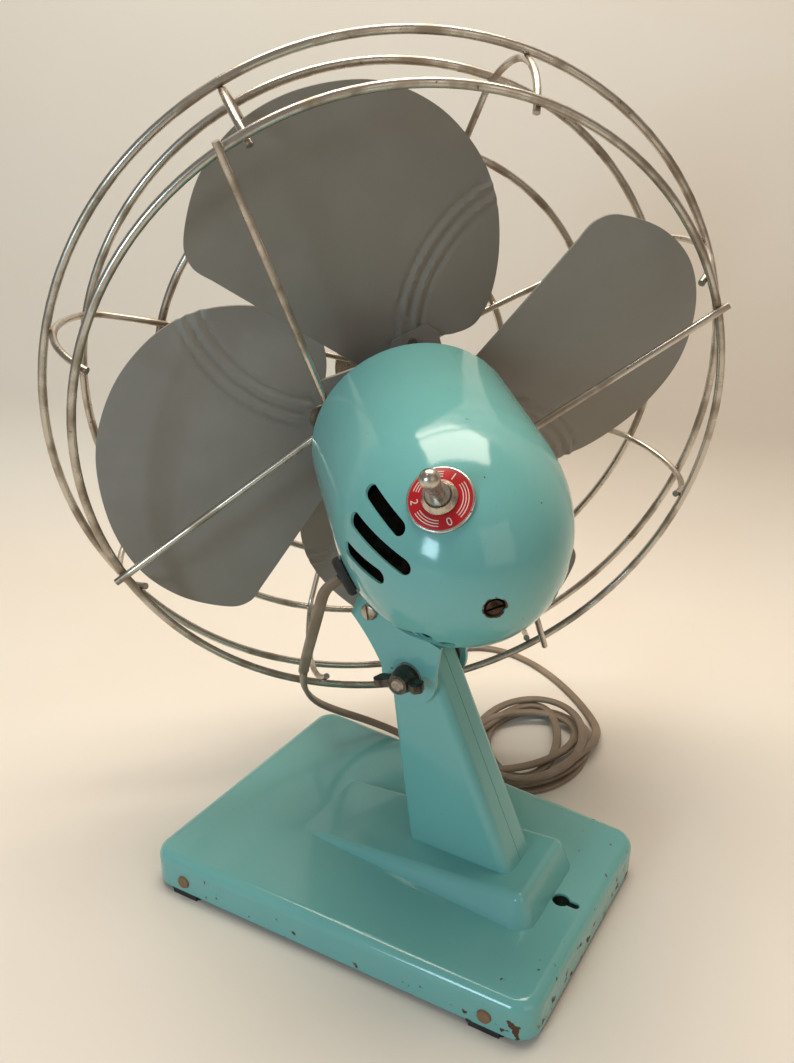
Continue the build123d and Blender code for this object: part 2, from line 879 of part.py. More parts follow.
# Housing: a spun shell, cylinder in front and half an ellipsoid behind, with meridional vents
stay_start = rear_bush_end + bush_seat + stay_gap
stay_end = dome_length - housing_sheet - stay_gap
housing_stay = turned(
    [
        (stay_start, 0),
        (stay_start, stay_hole_r - thread_fit),
        (rear_hub_end, stay_hole_r - thread_fit),
        (rear_hub_end, stay_r),
        (stay_end, stay_r),
        (stay_end, pole_screw_r + thread_fit),
        (stay_end - stay_thread, pole_screw_r + thread_fit),
        (stay_end - stay_thread, 0),
    ]
)
keep_piece(housing_stay, "housing_stay", head_frame)


def dome_radius(y):
    """Outer radius of the housing's rear dome."""
    return housing_r * sqrt(1 - (y / dome_length) ** 2)


def radial_plane(angle, y, radius):
    """Plane square to a radius of the housing, with its x axis along the fan's axis."""
    out = around(angle)
    return Plane(out * radius + Vector(0, y, 0), x_dir=(0, 1, 0), z_dir=out)


def dome_plane(angle, y):
    """Plane on the dome's outer face, with its x axis round the fan's axis and its z axis outwards."""
    slope = atan2(y / dome_length**2, dome_radius(y) / housing_r**2)
    normal = around(angle) * cos(slope) + Vector(0, sin(slope), 0)
    origin = around(angle) * dome_radius(y) + Vector(0, y, 0)
    return Plane(origin, x_dir=around(angle + 90), z_dir=normal)


dial = dome_plane(dial_angle, dial_y)
dial_section = Plane(dial.origin, x_dir=dial.x_dir, z_dir=dial.y_dir * -1)
dial_axis = Axis(dial.origin, dial.z_dir)
grommet = dome_plane(grommet_angle, grommet_y)

with BuildPart() as housing_shell:
    with BuildSketch(Plane.YZ):
        with BuildLine():
            Line((housing_front, housing_r), (0, housing_r))
            EllipticalCenterArc((0, 0), dome_length, housing_r, start_angle=0, arc_size=90)
            Line((dome_length, 0), (dome_length - housing_sheet, 0))
            EllipticalCenterArc(
                (0, 0),
                dome_length - housing_sheet,
                housing_r - housing_sheet,
                start_angle=0,
                arc_size=90,
            )
            Line((0, housing_r - housing_sheet), (housing_front, housing_r - housing_sheet))
            Line((housing_front, housing_r - housing_sheet), (housing_front, housing_r))
        make_face()
    revolve(axis=Axis.Y)
    for angle, outer_end, middle_end in vent_groups:
        for step in (-1, 0, 1):
            end = outer_end if step else middle_end
            middle = (vent_start + end) / 2
            with BuildSketch(radial_plane(angle + step * vent_step, middle, vent_root_r)):
                SlotOverall(end - vent_start, vent_width)
            extrude(amount=housing_r, mode=Mode.SUBTRACT)
    with BuildSketch(Plane.XY.offset(-housing_r - cut_over)):
        Circle(stud_shoulder_r + free_gap)
    extrude(amount=housing_r - bell_r, mode=Mode.SUBTRACT)
    with BuildSketch(dial.offset(switch_seat - cut_over)):
        Circle(switch_bush_r + running_fit)
    extrude(amount=2 * (cut_over - switch_seat), mode=Mode.SUBTRACT)
    with BuildSketch(grommet.offset(-grommet_r)):
        Circle(grommet_r)
    extrude(amount=2 * grommet_r, mode=Mode.SUBTRACT)
    with BuildSketch(Plane.XZ.offset(-dome_length - cut_over)):
        Circle(pole_hole_r)
    extrude(amount=stay_thread, mode=Mode.SUBTRACT)
keep_piece(housing_shell.part, "housing_shell", head_frame)

pole_seat = Plane((0, stay_end, 0), x_dir=pole_slot_way, z_dir=(0, 1, 0))
housing_screw = slotted_screw(pole_seat, pole_screw_r, pole_screw_length, pole_head_r, pole_head)
keep_piece(housing_screw, "housing_screw", head_frame)

# Cord grommet: a rubber bush with a flange on each side of the sheet
with BuildPart() as cord_grommet:
    with BuildSketch(grommet.offset(-housing_sheet - grommet_depth)):
        Circle(grommet_r)
    extrude(amount=housing_sheet + grommet_depth + grommet_proud / 2)
    with BuildSketch(grommet.offset(seat_gap)):
        Circle(grommet_r + grommet_flange)
    extrude(amount=grommet_proud - seat_gap)
    fillet(cord_grommet.faces().sort_by(Axis(grommet.origin, grommet.z_dir))[-1].edges(), grommet_round)
    with BuildSketch(grommet.offset(-2 * grommet_proud)):
        Circle(cord_d / 2)
    extrude(amount=4 * grommet_proud, mode=Mode.SUBTRACT)
keep_piece(cord_grommet.part, "cord_grommet", head_frame)


# Dial and switch: a dished plate under a round nut, with a ball-ended lever that turns
def dial_drop(radius):
    """How far the dished dial plate falls below its centre at a radius."""
    return dial_bend - sqrt(dial_bend**2 - radius**2)


bush_hole = switch_bush_r + bush_gap
with BuildPart() as dial_plate:
    with BuildSketch(dial_section):
        with BuildLine():
            top = dial_lift + dial_thickness
            middle = (bush_hole + dial_r) / 2
            ThreePointArc(
                (bush_hole, top - dial_drop(bush_hole)),
                (middle, top - dial_drop(middle)),
                (dial_r, top - dial_drop(dial_r)),
            )
            Line(
                (dial_r, top - dial_drop(dial_r)),
                (dial_r, dial_lift - dial_drop(dial_r)),
            )
            ThreePointArc(
                (dial_r, dial_lift - dial_drop(dial_r)),
                (middle, dial_lift - dial_drop(middle)),
                (bush_hole, dial_lift - dial_drop(bush_hole)),
            )
            Line(
                (bush_hole, dial_lift - dial_drop(bush_hole)),
                (bush_hole, top - dial_drop(bush_hole)),
            )
        make_face()
    revolve(axis=dial_axis)
keep_piece(dial_plate.part, "dial_plate", head_frame)

nut_bottom = dial_lift + dial_thickness - dial_drop(bush_hole) + seat_gap
with BuildPart() as switch_body:
    with BuildSketch(dial.offset(switch_seat)):
        Circle(switch_body_r)
    extrude(amount=-switch_body_length)
    with BuildSketch(dial.offset(switch_seat)):
        Circle(switch_bush_r)
    extrude(amount=nut_bottom + switch_bush_proud - switch_seat)
    with BuildSketch(dial.offset(lever_start - running_fit)):
        Circle(lever_neck_r + running_fit)
    extrude(amount=switch_body_length, mode=Mode.SUBTRACT)
keep_piece(switch_body.part, "switch_body", head_frame)

with BuildPart() as switch_nut:
    with BuildSketch(dial_section):
        with BuildLine():
            Polyline(
                (switch_bush_r + thread_fit, nut_bottom),
                (switch_nut_r, nut_bottom),
                (switch_nut_r, nut_bottom + switch_nut_flange),
                (switch_nut_top_r, nut_bottom + switch_nut_height),
                (switch_bush_r + switch_nut_bevel, nut_bottom + switch_nut_height),
                (switch_bush_r + thread_fit, nut_bottom + switch_nut_height - switch_nut_bevel),
                close=True,
            )
        make_face()
    revolve(axis=dial_axis)
keep_piece(switch_nut.part, "switch_nut", head_frame)

with BuildPart() as switch_lever:
    with BuildSketch(dial_section):
        with BuildLine():
            Polyline(
                (0, lever_ball_height + lever_ball_r),
                (0, lever_start),
                (lever_neck_r, lever_start),
                (lever_neck_r, lever_neck_top),
                (lever_ball_r, lever_ball_height),
            )
            CenterArc((0, lever_ball_height), lever_ball_r, 0, 90)
        make_face()
    revolve(axis=dial_axis)
keep_piece(switch_lever.part, "switch_lever", head_frame)


# Guard: five wire rings with eight bent ribs welded inside them
ring_offset = ring_wire + rib_wire - weld_sink


def rib_state():
    """A rib's side bend, its two turns, where its front bend starts, and the front ring that it carries."""
    centre_r = ring_a_r - ring_wire - rib_wire + weld_sink - rib_side_bend
    start = radians(rib_tail_angle)
    turn = asin((ring_a_y - ring_b_y) / (rib_side_bend + ring_offset))
    side_start = (
        centre_r + rib_side_bend * cos(start),
        ring_a_y + rib_side_bend * sin(start),
    )
    corner = (
        centre_r + rib_side_bend * cos(turn),
        ring_a_y - rib_side_bend * sin(turn),
    )
    heading = radians(rib_front_heading)
    front_start = (
        corner[0] - rib_corner_bend * (cos(turn) - cos(heading)),
        corner[1] - rib_corner_bend * (sin(heading) - sin(turn)),
    )
    ring_b_r = centre_r + (rib_side_bend + ring_offset) * cos(turn)
    return side_start, start, turn, front_start, ring_b_r


side_start, tail_turn, side_turn, front_start, ring_b_r = rib_state()
rib_inner_r = badge_r - rib_inset
front_bend = (front_start[0] - rib_inner_r) / cos(radians(rib_front_heading))


def rib_front_y(radius):
    """Height along the fan's axis of a rib's centre line on the guard's front."""
    across = radius - rib_inner_r
    flat = front_start[1] - front_bend * (1 - sin(radians(rib_front_heading)))
    return flat + front_bend - sqrt(front_bend**2 - across**2)


ring_d_y = rib_front_y(ring_d_r) - ring_offset
ring_e_y = rib_front_y(ring_e_r) - ring_offset
for name, radius, y in (
    ("guard_ring_rear", ring_c_r, ring_c_y),
    ("guard_ring_middle", ring_a_r, ring_a_y),
    ("guard_ring_front", ring_b_r, ring_b_y),
    ("guard_ring_inner", ring_d_r, ring_d_y),
    ("guard_ring_centre", ring_e_r, ring_e_y),
):
    with BuildPart() as ring:
        with BuildSketch(Plane.YZ):
            with Locations((y, radius)):
                Circle(ring_wire)
        revolve(axis=Axis.Y)
    keep_piece(ring.part, name, head_frame)

rib_plane = Plane((0, 0, 0), x_dir=(0, 0, 1), z_dir=(-1, 0, 0))
with BuildPart() as one_rib:
    with BuildLine(rib_plane) as rib_path:
        side_bend = JernArc(
            side_start,
            (sin(tail_turn), -cos(tail_turn)),
            rib_side_bend,
            -degrees(tail_turn + side_turn),
        )
        corner_bend = JernArc(
            front_start,
            (sin(radians(rib_front_heading)), cos(radians(rib_front_heading))),
            rib_corner_bend,
            rib_front_heading - degrees(side_turn),
        )
        face_bend = JernArc(
            (rib_inner_r, rib_front_y(rib_inner_r)),
            (1, 0),
            front_bend,
            90 - rib_front_heading,
        )
    rib_wire_path = Wire(rib_path.edges())
    with BuildSketch(Plane(rib_wire_path @ 0, z_dir=rib_wire_path % 0)):
        Circle(rib_wire)
    sweep(path=rib_wire_path)
with BuildPart() as guard_ribs:
    for i in range(rib_count):
        add(one_rib.part.rotate(Axis.Y, rib_first + i * 360 / rib_count))
keep_piece(guard_ribs.part, "guard_ribs", head_frame)

badge_back = rib_front_y(badge_r) - rib_wire + weld_sink
guard_badge = turned(
    [
        (badge_back, 0),
        (badge_back, badge_r),
        (badge_back - badge_rim, badge_r),
        (badge_back - badge_rim - badge_bevel, badge_r - badge_bevel_width),
        (badge_back - badge_rim - badge_bevel - badge_crown, 0),
    ]
)
keep_piece(guard_badge, "guard_badge", head_frame)

# Guard arms: a V of wire on each side, welded behind the rear ring and clamped to the motor's front plate
arm_outer_y = ring_c_y + ring_wire + arm_wire - weld_sink


def arm_point(axis, offset, radius, y):
    """Point of a guard arm at an angle from its own axis."""
    return around(axis + offset) * radius + Vector(0, y, 0)


def arm_knee(axis, side):
    """Point where an arm's leg leaves the motor's front plate."""
    end = arm_point(axis, side * arm_spread, arm_end_r, arm_y)
    apex = arm_point(axis, 0, arm_apex_r, arm_y)
    return apex + (end - apex).normalized() * (arm_knee_r - arm_apex_r)


for axis, name in zip(arm_axes, ("guard_arm_left", "guard_arm_right")):
    with BuildPart() as arm:
        with BuildLine() as arm_path:
            FilletPolyline(
                arm_point(axis, arm_spread, arm_end_r, arm_outer_y),
                arm_knee(axis, 1),
                arm_point(axis, 0, arm_apex_r, arm_y),
                arm_knee(axis, -1),
                arm_point(axis, -arm_spread, arm_end_r, arm_outer_y),
                radius=(arm_knee_bend, arm_bend, arm_knee_bend),
            )
        with BuildSketch(Plane(arm_path.line @ 0, z_dir=arm_path.line % 0)):
            Circle(arm_wire)
        sweep(path=arm_path.line)
    keep_piece(arm.part, name, head_frame)

clamp_y = arm_y - arm_wire - running_fit
clamp_seats = [
    Plane(around(axis) * arm_screw_radius + Vector(0, clamp_y, 0), x_dir=arm_slot_way, z_dir=(0, -1, 0))
    for axis in arm_axes
]
clamp_screws = [
    slotted_screw(seat.offset(washer_thickness), arm_screw_r, arm_screw_length, arm_screw_head_r, arm_screw_head)
    for seat in clamp_seats
]
with BuildPart() as guard_screws:
    add(clamp_screws)
    for seat in clamp_seats:
        with BuildSketch(seat):
            Circle(clamp_washer_r)
        extrude(amount=washer_thickness)
keep_piece(guard_screws.part, "guard_screws", head_frame)

# Rotor: shaft, core, and four pressed blades riveted to a spider
shaft_front = boss_front + boss_cap
rotor_shaft = turned(
    [
        (shaft_front, 0),
        (shaft_front, shaft_r),
        (rear_bush_end + shaft_tail, shaft_r),
        (rear_bush_end + shaft_tail, 0),
    ]
)
keep_piece(rotor_shaft, "rotor_shaft", head_frame)

rotor_core = turned(
    [
        (stator_front, shaft_r),
        (stator_front, rotor_r),
        (stator_rear, rotor_r),
        (stator_rear, shaft_r),
    ]
)
keep_piece(rotor_core, "rotor_core", head_frame)


def blade_sheet_solid(back, thickness):
    """Cambered slab along the blade's length, between back and back + thickness behind its front face."""
    middle = (blade_lead + blade_trail) / 2
    high = (blade_rear_y + blade_front_y) / 2 + blade_camber
    tilt = (blade_rear_y - blade_front_y) / (blade_lead - blade_trail)
    with BuildPart() as slab:
        with BuildSketch(Plane.XY):
            with BuildLine():
                for lift in (back, back + thickness):
                    ThreePointArc(
                        (blade_trail - blade_spare, blade_front_y - blade_spare * tilt + lift),
                        (middle, high + lift),
                        (blade_lead + blade_spare, blade_rear_y + blade_spare * tilt + lift),
                    )
                Line(
                    (blade_trail - blade_spare, blade_front_y - blade_spare * tilt + back),
                    (blade_trail - blade_spare, blade_front_y - blade_spare * tilt + back + thickness),
                )
                Line(
                    (blade_lead + blade_spare, blade_rear_y + blade_spare * tilt + back),
                    (blade_lead + blade_spare, blade_rear_y + blade_spare * tilt + back + thickness),
                )
            make_face()
        extrude(amount=blade_tip_r + blade_spare)
    return slab.part


blade_blank = Plane.XZ.offset(-blade_rear_y - blade_margin)
blade_room = blade_rear_y - blade_front_y + 2 * blade_margin


def blade_outline():
    """Outline of one blade seen along the fan's axis: x towards its leading edge, y towards its tip."""
    with BuildSketch(blade_blank) as outline:
        with BuildLine():
            edge = Spline(*blade_edge)
            Polyline(edge @ 1, *blade_root, edge @ 0)
        make_face()
    return outline.sketch


front_sheet = blade_sheet_solid(0, blade_sheet)
arm_slab = blade_sheet_solid(blade_sheet, spider_sheet)


def sheet_y(x):
    """Front face of the blade's sheet at a distance from its centre line."""
    middle = (blade_lead + blade_trail) / 2
    half = (blade_lead - blade_trail) / 2
    chord = (blade_rear_y + blade_front_y) / 2 + (x - middle) * (blade_rear_y - blade_front_y) / (2 * half)
    return chord + blade_camber * (1 - ((x - middle) / half) ** 2)


with BuildPart() as one_blade:
    extrude(blade_outline(), amount=blade_room)
    add(front_sheet, mode=Mode.INTERSECT)
    with BuildSketch(Plane.XZ):
        with Locations(*rivet_places):
            Circle(rivet_r)
    extrude(amount=blade_margin - blade_front_y, mode=Mode.SUBTRACT)

with BuildPart() as one_spider_arm:
    with BuildSketch(blade_blank):
        with BuildLine():
            Polyline(*spider_arm, close=True)
        make_face()
    extrude(amount=blade_room)
    add(arm_slab, mode=Mode.INTERSECT)
    with BuildSketch(Plane.XZ):
        with Locations(*rivet_places):
            Circle(rivet_r)
    extrude(amount=blade_margin - blade_front_y, mode=Mode.SUBTRACT)

set_screw_y = boss_rear - set_screw_back
boss_form = turned(
    [
        (boss_front, 0),
        (boss_front, boss_r - boss_bevel),
        (boss_front + boss_bevel, boss_r),
        (boss_rear, boss_r),
        (boss_rear, shaft_r),
        (shaft_front, shaft_r),
        (shaft_front, 0),
    ]
)
with BuildPart() as blade_spider:
    add(boss_form)
    for i in range(blade_count):
        add(one_spider_arm.part.rotate(Axis.Y, blade_first + i * 360 / blade_count))
    with BuildSketch(Plane.XZ.offset(-boss_rear)):
        Circle(shaft_r)
    extrude(amount=boss_rear - shaft_front, mode=Mode.SUBTRACT)
    with BuildSketch(radial_plane(0, set_screw_y, 0)):
        Circle(set_screw_r + thread_fit)
    extrude(amount=boss_r + set_screw_r, mode=Mode.SUBTRACT)
keep_piece(blade_spider.part, "blade_spider", head_frame)

with BuildPart() as set_screw:
    with BuildSketch(radial_plane(0, set_screw_y, shaft_r + seat_gap)):
        Circle(set_screw_r)
    extrude(amount=boss_r + set_screw_proud - shaft_r - seat_gap)
    with BuildSketch(radial_plane(0, set_screw_y, boss_r + set_screw_proud - set_slot_depth)):
        Rectangle(4 * set_screw_r, set_slot_width)
    extrude(amount=2 * set_slot_depth, mode=Mode.SUBTRACT)
keep_piece(set_screw.part, "set_screw", head_frame)

for i in range(blade_count):
    with BuildPart() as blade:
        add(one_blade.part)
    turned_blade = blade.part.rotate(Axis.Y, blade_first + i * 360 / blade_count)
    keep_piece(turned_blade, f"blade_{i + 1}", head_frame)


def blade_rivet(x, z):
    """Rivet through a blade and its spider arm, in the first blade's own place."""
    with BuildPart() as rivet:
        with BuildSketch(Plane.XZ.offset(-sheet_y(x) + rivet_proud)):
            with Locations((x, z)):
                Circle(rivet_r)
        extrude(amount=-(blade_sheet + spider_sheet + 2 * rivet_proud))
    return rivet.part


blade_rivet_set = [
    blade_rivet(x, z).rotate(Axis.Y, blade_first + i * 360 / blade_count)
    for i in range(blade_count)
    for x, z in rivet_places
]
with BuildPart() as blade_rivets:
    add(blade_rivet_set)
keep_piece(blade_rivets.part, "blade_rivets", head_frame)

# Cord: a tube from the grommet over the base's edge, a loose bundle of loops, and a tail with the plug
grommet_mouth = head_frame * Location(grommet.origin + grommet.z_dir * grommet_proud)
mouth = grommet_mouth.position
mouth_way = (head_frame * Location(grommet.origin + grommet.z_dir * (grommet_proud + cord_exit))).position
floor_z = cord_d / 2
hank_left = hank_centre[0] - hank_run / 2
hank_right = hank_centre[0] + hank_run / 2
hank_step = (cord_d + hank_gap) / 2
hank_start = Vector(hank_right + hank_bend + hank_step, hank_centre[1] - cord_d, floor_z)
hank_rise = cord_d + hank_gap
lead_route = [
    mouth,
    mouth_way,
    (43, -14.6, 168.2),
    (40, -18.6, 159.0),
    (33, -27, 143),
    (23, -38.5, 123.5),
    (10, -51.5, 103),
    (-6, -64, 81.5),
    (-26, -72.5, 60),
    (-47, -73, 42.5),
    (-63, -62, 31),
    (-74.5, -45, 21),
    (-80, -29, 10),
    (-81, -15, 3.6),
    (hank_start.X, -2, floor_z),
    hank_start,
]
tail_route = [
    (hank_left, hank_centre[1] + hank_bend + hank_step, floor_z + hank_rise),
    (-150, hank_centre[1] + hank_bend + hank_step, floor_z + hank_rise),
    (-165, 43, 4.2),
    (-181, 32, 2.4),
    (-198, 14, floor_z),
    (-214, -8, floor_z),
    (-225, -31, floor_z),
    (-229, -54, floor_z),
    (-222, -74, 2.4),
    (-208, -83.5, 4.2),
    (-198, -85, plug_height / 2),
    (-186, -86, plug_height / 2),
]


def cord_tube(route, name):
    """Tube along a route, each bend as large as its two runs allow."""
    points = [Vector(*point) for point in route]
    radii = []
    for before, point, after in zip(points, points[1:], points[2:]):
        first = point - before
        second = after - point
        half_turn = radians(first.get_angle(second)) / 2
        radii.append(bend_share * min(first.length, second.length) / tan(half_turn))
    with BuildPart() as tube:
        with BuildLine() as path:
            FilletPolyline(*points, radius=radii)
        line = path.wires()[0]
        with BuildSketch(Plane(line @ 0, z_dir=line % 0)):
            Circle(cord_d / 2)
        sweep(path=line)
    section = pi * cord_d**2 / 4
    print(name, "radii", [round(radius, 1) for radius in radii])
    print(name, "length", line.length, "volume ratio", tube.part.volume / (section * line.length))
    return tube.part


keep_piece(cord_tube(lead_route, "cord_lead"), "cord_lead")
keep_piece(cord_tube(tail_route, "cord_tail"), "cord_tail")


# Bundle: flat loops that spiral in on the floor, climb along a run, and spiral out again on top
def hank_path():
    """Edges of the bundle's one unbroken strand, from the lead's end to the tail's start."""
    low = floor_z
    high = floor_z + hank_rise
    edges = [Line(hank_start, hank_start + Vector(0, cord_d, 0), mode=Mode.PRIVATE)]
    edges.append(JernArc(edges[-1] @ 1, (0, 1, 0), hank_bend + hank_step, 90, mode=Mode.PRIVATE))
    radii = [hank_bend - hank_step * i for i in range(hank_half_turns)]
    heading = -1
    for z, bends in ((low, radii), (high, radii[::-1])):
        for bend in bends:
            end = edges[-1] @ 1
            if z == high and bend == bends[0]:
                middle = end + Vector(heading * hank_run / 2, 0, hank_rise / 2)
                top = end + Vector(heading * hank_run, 0, hank_rise)
                edges.append(TangentArc(end, middle, tangent=(heading, 0, 0), mode=Mode.PRIVATE))
                edges.append(TangentArc(middle, top, tangent=edges[-1] % 1, mode=Mode.PRIVATE))
            else:
                edges.append(Line(end, end + Vector(heading * hank_run, 0, 0), mode=Mode.PRIVATE))
            edges.append(JernArc(edges[-1] @ 1, (heading, 0, 0), bend, 180, mode=Mode.PRIVATE))
            heading = -heading
    end = edges[-1] @ 1
    edges.append(Line(end, end + Vector(heading * hank_run, 0, 0), mode=Mode.PRIVATE))
    return Wire(edges)


hank_line = hank_path()
with BuildPart() as cord_hank:
    with BuildSketch(Plane(hank_line @ 0, z_dir=hank_line % 0)):
        Circle(cord_d / 2)
    sweep(path=hank_line)
keep_piece(cord_hank.part, "cord_hank")

samples = [hank_line @ (i * sample_step / hank_line.length) for i in range(int(hank_line.length / sample_step))]
apart = int(sample_apart / sample_step)
least = min((a - b).length for i, a in enumerate(samples) for b in samples[i + apart :])
print("cord_hank length", hank_line.length, "least gap to itself", least - cord_d)
print("cord_hank end", hank_line @ 1, "tail start", tail_route[0])

# Plug: a moulded body with two flat blades
plug_way = (Vector(*tail_route[-1]) - Vector(*tail_route[-2])).normalized()
plug_face = Plane(tail_route[-1], x_dir=plug_way.cross(Vector(0, 0, 1)) * -1, z_dir=plug_way)
with BuildPart() as plug_body:
    with BuildSketch(plug_face):
        Ellipse(plug_neck_width / 2, plug_neck_height / 2)
    with BuildSketch(plug_face.offset(plug_taper_length)):
        Ellipse(plug_width / 2, plug_height / 2)
    loft()
    with BuildSketch(plug_face.offset(plug_taper_length)):
        Ellipse(plug_width / 2, plug_height / 2)
    extrude(amount=plug_grip_length)
keep_piece(plug_body.part, "plug_body")

with BuildPart() as plug_blades:
    with BuildSketch(plug_face.offset(plug_taper_length + plug_grip_length)):
        with Locations((-pin_pitch / 2, 0), (pin_pitch / 2, 0)):
            Rectangle(pin_thickness, pin_width)
    extrude(amount=pin_length)
keep_piece(plug_blades.part, "plug_blades")

# Export, with the origin at the bottom centre of everything but the cord
os.makedirs("parts", exist_ok=True)
cord_pieces = ("cord_lead", "cord_hank", "cord_tail", "plug_body", "plug_blades")
boxes = [piece.bounding_box() for name, piece in pieces.items() if name not in cord_pieces]
low = [min(box.min.X for box in boxes), min(box.min.Y for box in boxes)]
high = [max(box.max.X for box in boxes), max(box.max.Y for box in boxes)]
origin_shift = Location((-(low[0] + high[0]) / 2, -(low[1] + high[1]) / 2, 0))
for name, piece in pieces.items():
    placed = piece.moved(origin_shift)
    placed.label = name
    export_step(placed, f"parts/{name}.step")
print("origin shift", origin_shift.position)
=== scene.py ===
import json
import math

import bmesh
import bpy
from mathutils import Matrix, Vector


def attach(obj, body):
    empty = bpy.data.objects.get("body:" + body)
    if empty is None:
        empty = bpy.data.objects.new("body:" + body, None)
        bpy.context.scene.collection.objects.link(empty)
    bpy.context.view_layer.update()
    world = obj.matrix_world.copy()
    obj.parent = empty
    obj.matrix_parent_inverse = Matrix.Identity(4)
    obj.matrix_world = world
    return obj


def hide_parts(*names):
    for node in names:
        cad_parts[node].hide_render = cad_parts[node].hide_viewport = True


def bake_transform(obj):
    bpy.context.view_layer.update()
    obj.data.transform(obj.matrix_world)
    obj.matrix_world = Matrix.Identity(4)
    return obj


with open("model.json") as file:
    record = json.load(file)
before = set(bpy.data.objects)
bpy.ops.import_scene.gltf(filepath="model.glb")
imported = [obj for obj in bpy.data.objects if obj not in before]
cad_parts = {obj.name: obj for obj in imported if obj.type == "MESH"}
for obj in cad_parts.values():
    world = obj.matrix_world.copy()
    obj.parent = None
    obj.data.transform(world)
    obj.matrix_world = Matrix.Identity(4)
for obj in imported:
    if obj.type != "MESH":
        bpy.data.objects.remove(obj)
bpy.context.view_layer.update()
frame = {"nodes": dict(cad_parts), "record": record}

# Base pan: one deep-drawn steel sheet, stoved in turquoise enamel, with a keyhole for wall hanging.
# Years on benches have chipped the enamel along the skirt's lower edge, and the bare steel has rusted.
nodes = frame["nodes"]
mm = 0.001
turquoise = (0.148, 0.4, 0.39, 1)
turquoise_pale = (0.172, 0.425, 0.405, 1)
rust = (0.085, 0.037, 0.017, 1)
film_roughness = (0.1, 0.17)
bare_roughness = 0.85
scuff_share = 0.16
peel_share = 0.08
chip_depth = 0.12 * mm


def add_node(tree, kind, inputs=None, **settings):
    """Add a shader node, set its properties, and fill its named inputs with values or linked sockets."""
    node = tree.nodes.new("ShaderNode" + kind)
    for name, value in settings.items():
        setattr(node, name, value)
    for name, value in (inputs or {}).items():
        if isinstance(value, bpy.types.NodeSocket):
            tree.links.new(value, node.inputs[name])
        else:
            node.inputs[name].default_value = value
    return node


def ramp_value(tree, value, low, high, at_low=0.0, at_high=1.0):
    """A value run smoothly from at_low to at_high between two levels of its source."""
    inputs = {"Value": value, "From Min": low, "From Max": high, "To Min": at_low, "To Max": at_high}
    return add_node(tree, "MapRange", inputs, interpolation_type="SMOOTHSTEP").outputs[0]


def mix_colour(tree, factor, first, second):
    """Colour between two colours or colour sockets."""
    return add_node(tree, "Mix", {0: factor, 6: first, 7: second}, data_type="RGBA").outputs[2]


def mix_value(tree, factor, first, second):
    """Number between two numbers or sockets."""
    return add_node(tree, "Mix", {0: factor, 2: first, 3: second}, data_type="FLOAT").outputs[0]


def join_values(tree, operation, first, second):
    """One arithmetic step on two numbers or sockets."""
    return add_node(tree, "Math", {0: first, 1: second}, operation=operation).outputs[0]


def new_material(name, metallic=0.0):
    """A material with its tree, its Principled shader and the piece's Object coordinates."""
    material = bpy.data.materials.new(name)
    material.use_nodes = True
    tree = material.node_tree
    shader = tree.nodes["Principled BSDF"]
    shader.inputs["Metallic"].default_value = metallic
    place = add_node(tree, "TexCoord").outputs["Object"]
    return material, tree, shader, place


def set_bump(tree, shader, height, distance, strength=1.0):
    """Give the shader a bumped normal from a height socket."""
    inputs = {"Height": height, "Distance": distance, "Strength": strength}
    tree.links.new(add_node(tree, "Bump", inputs).outputs[0], shader.inputs["Normal"])


def dress(material, *names):
    """Put a material on CAD nodes."""
    for name in names:
        for slot in nodes[name].material_slots:
            slot.material = material


def new_group(name, inputs, outputs):
    """An empty shader node group with named sockets, and its two end nodes."""
    tree = bpy.data.node_groups.new(name, "ShaderNodeTree")
    for title, kind in inputs:
        tree.interface.new_socket(title, in_out="INPUT", socket_type=kind)
    for title in outputs:
        tree.interface.new_socket(title, in_out="OUTPUT", socket_type="NodeSocketFloat")
    return tree, tree.nodes.new("NodeGroupInput"), tree.nodes.new("NodeGroupOutput")


def use_group(tree, group, inputs):
    """Place a node group in a material."""
    return add_node(tree, "Group", inputs, node_tree=group)


def paint_wear_group():
    """Chips, scuffs and tone of an old paint film: Risk says how likely a place is to be chipped."""
    sockets = [("Place", "NodeSocketVector"), ("Fineness", "NodeSocketFloat"), ("Risk", "NodeSocketFloat")]
    tree, start, end = new_group("paint_wear", sockets, ["Bare", "Scuff", "Tone", "Peel"])
    place = start.outputs["Place"]
    chips = add_node(tree, "TexNoise", {"Vector": place, "Scale": start.outputs["Fineness"], "Detail": 5.0})
    chance = join_values(tree, "ADD", chips.outputs[0], start.outputs["Risk"])
    tree.links.new(ramp_value(tree, chance, low=0.88, high=0.92), end.inputs["Bare"])
    slant = {"Vector": place, "Rotation": (0.3, 0.5, 0.8), "Scale": (1, 9, 1)}
    stretched = add_node(tree, "Mapping", slant)
    lines = add_node(tree, "TexNoise", {"Vector": stretched.outputs[0], "Scale": 130.0, "Detail": 2.0})
    tree.links.new(ramp_value(tree, lines.outputs[0], low=0.7, high=0.76), end.inputs["Scuff"])
    tone = add_node(tree, "TexNoise", {"Vector": place, "Scale": 15.0, "Detail": 2.0})
    tree.links.new(ramp_value(tree, tone.outputs[0], low=0.2, high=0.8), end.inputs["Tone"])
    peel = add_node(tree, "TexNoise", {"Vector": place, "Scale": 420.0, "Detail": 1.0})
    tree.links.new(peel.outputs[0], end.inputs["Peel"])
    return tree


paint_wear = paint_wear_group()


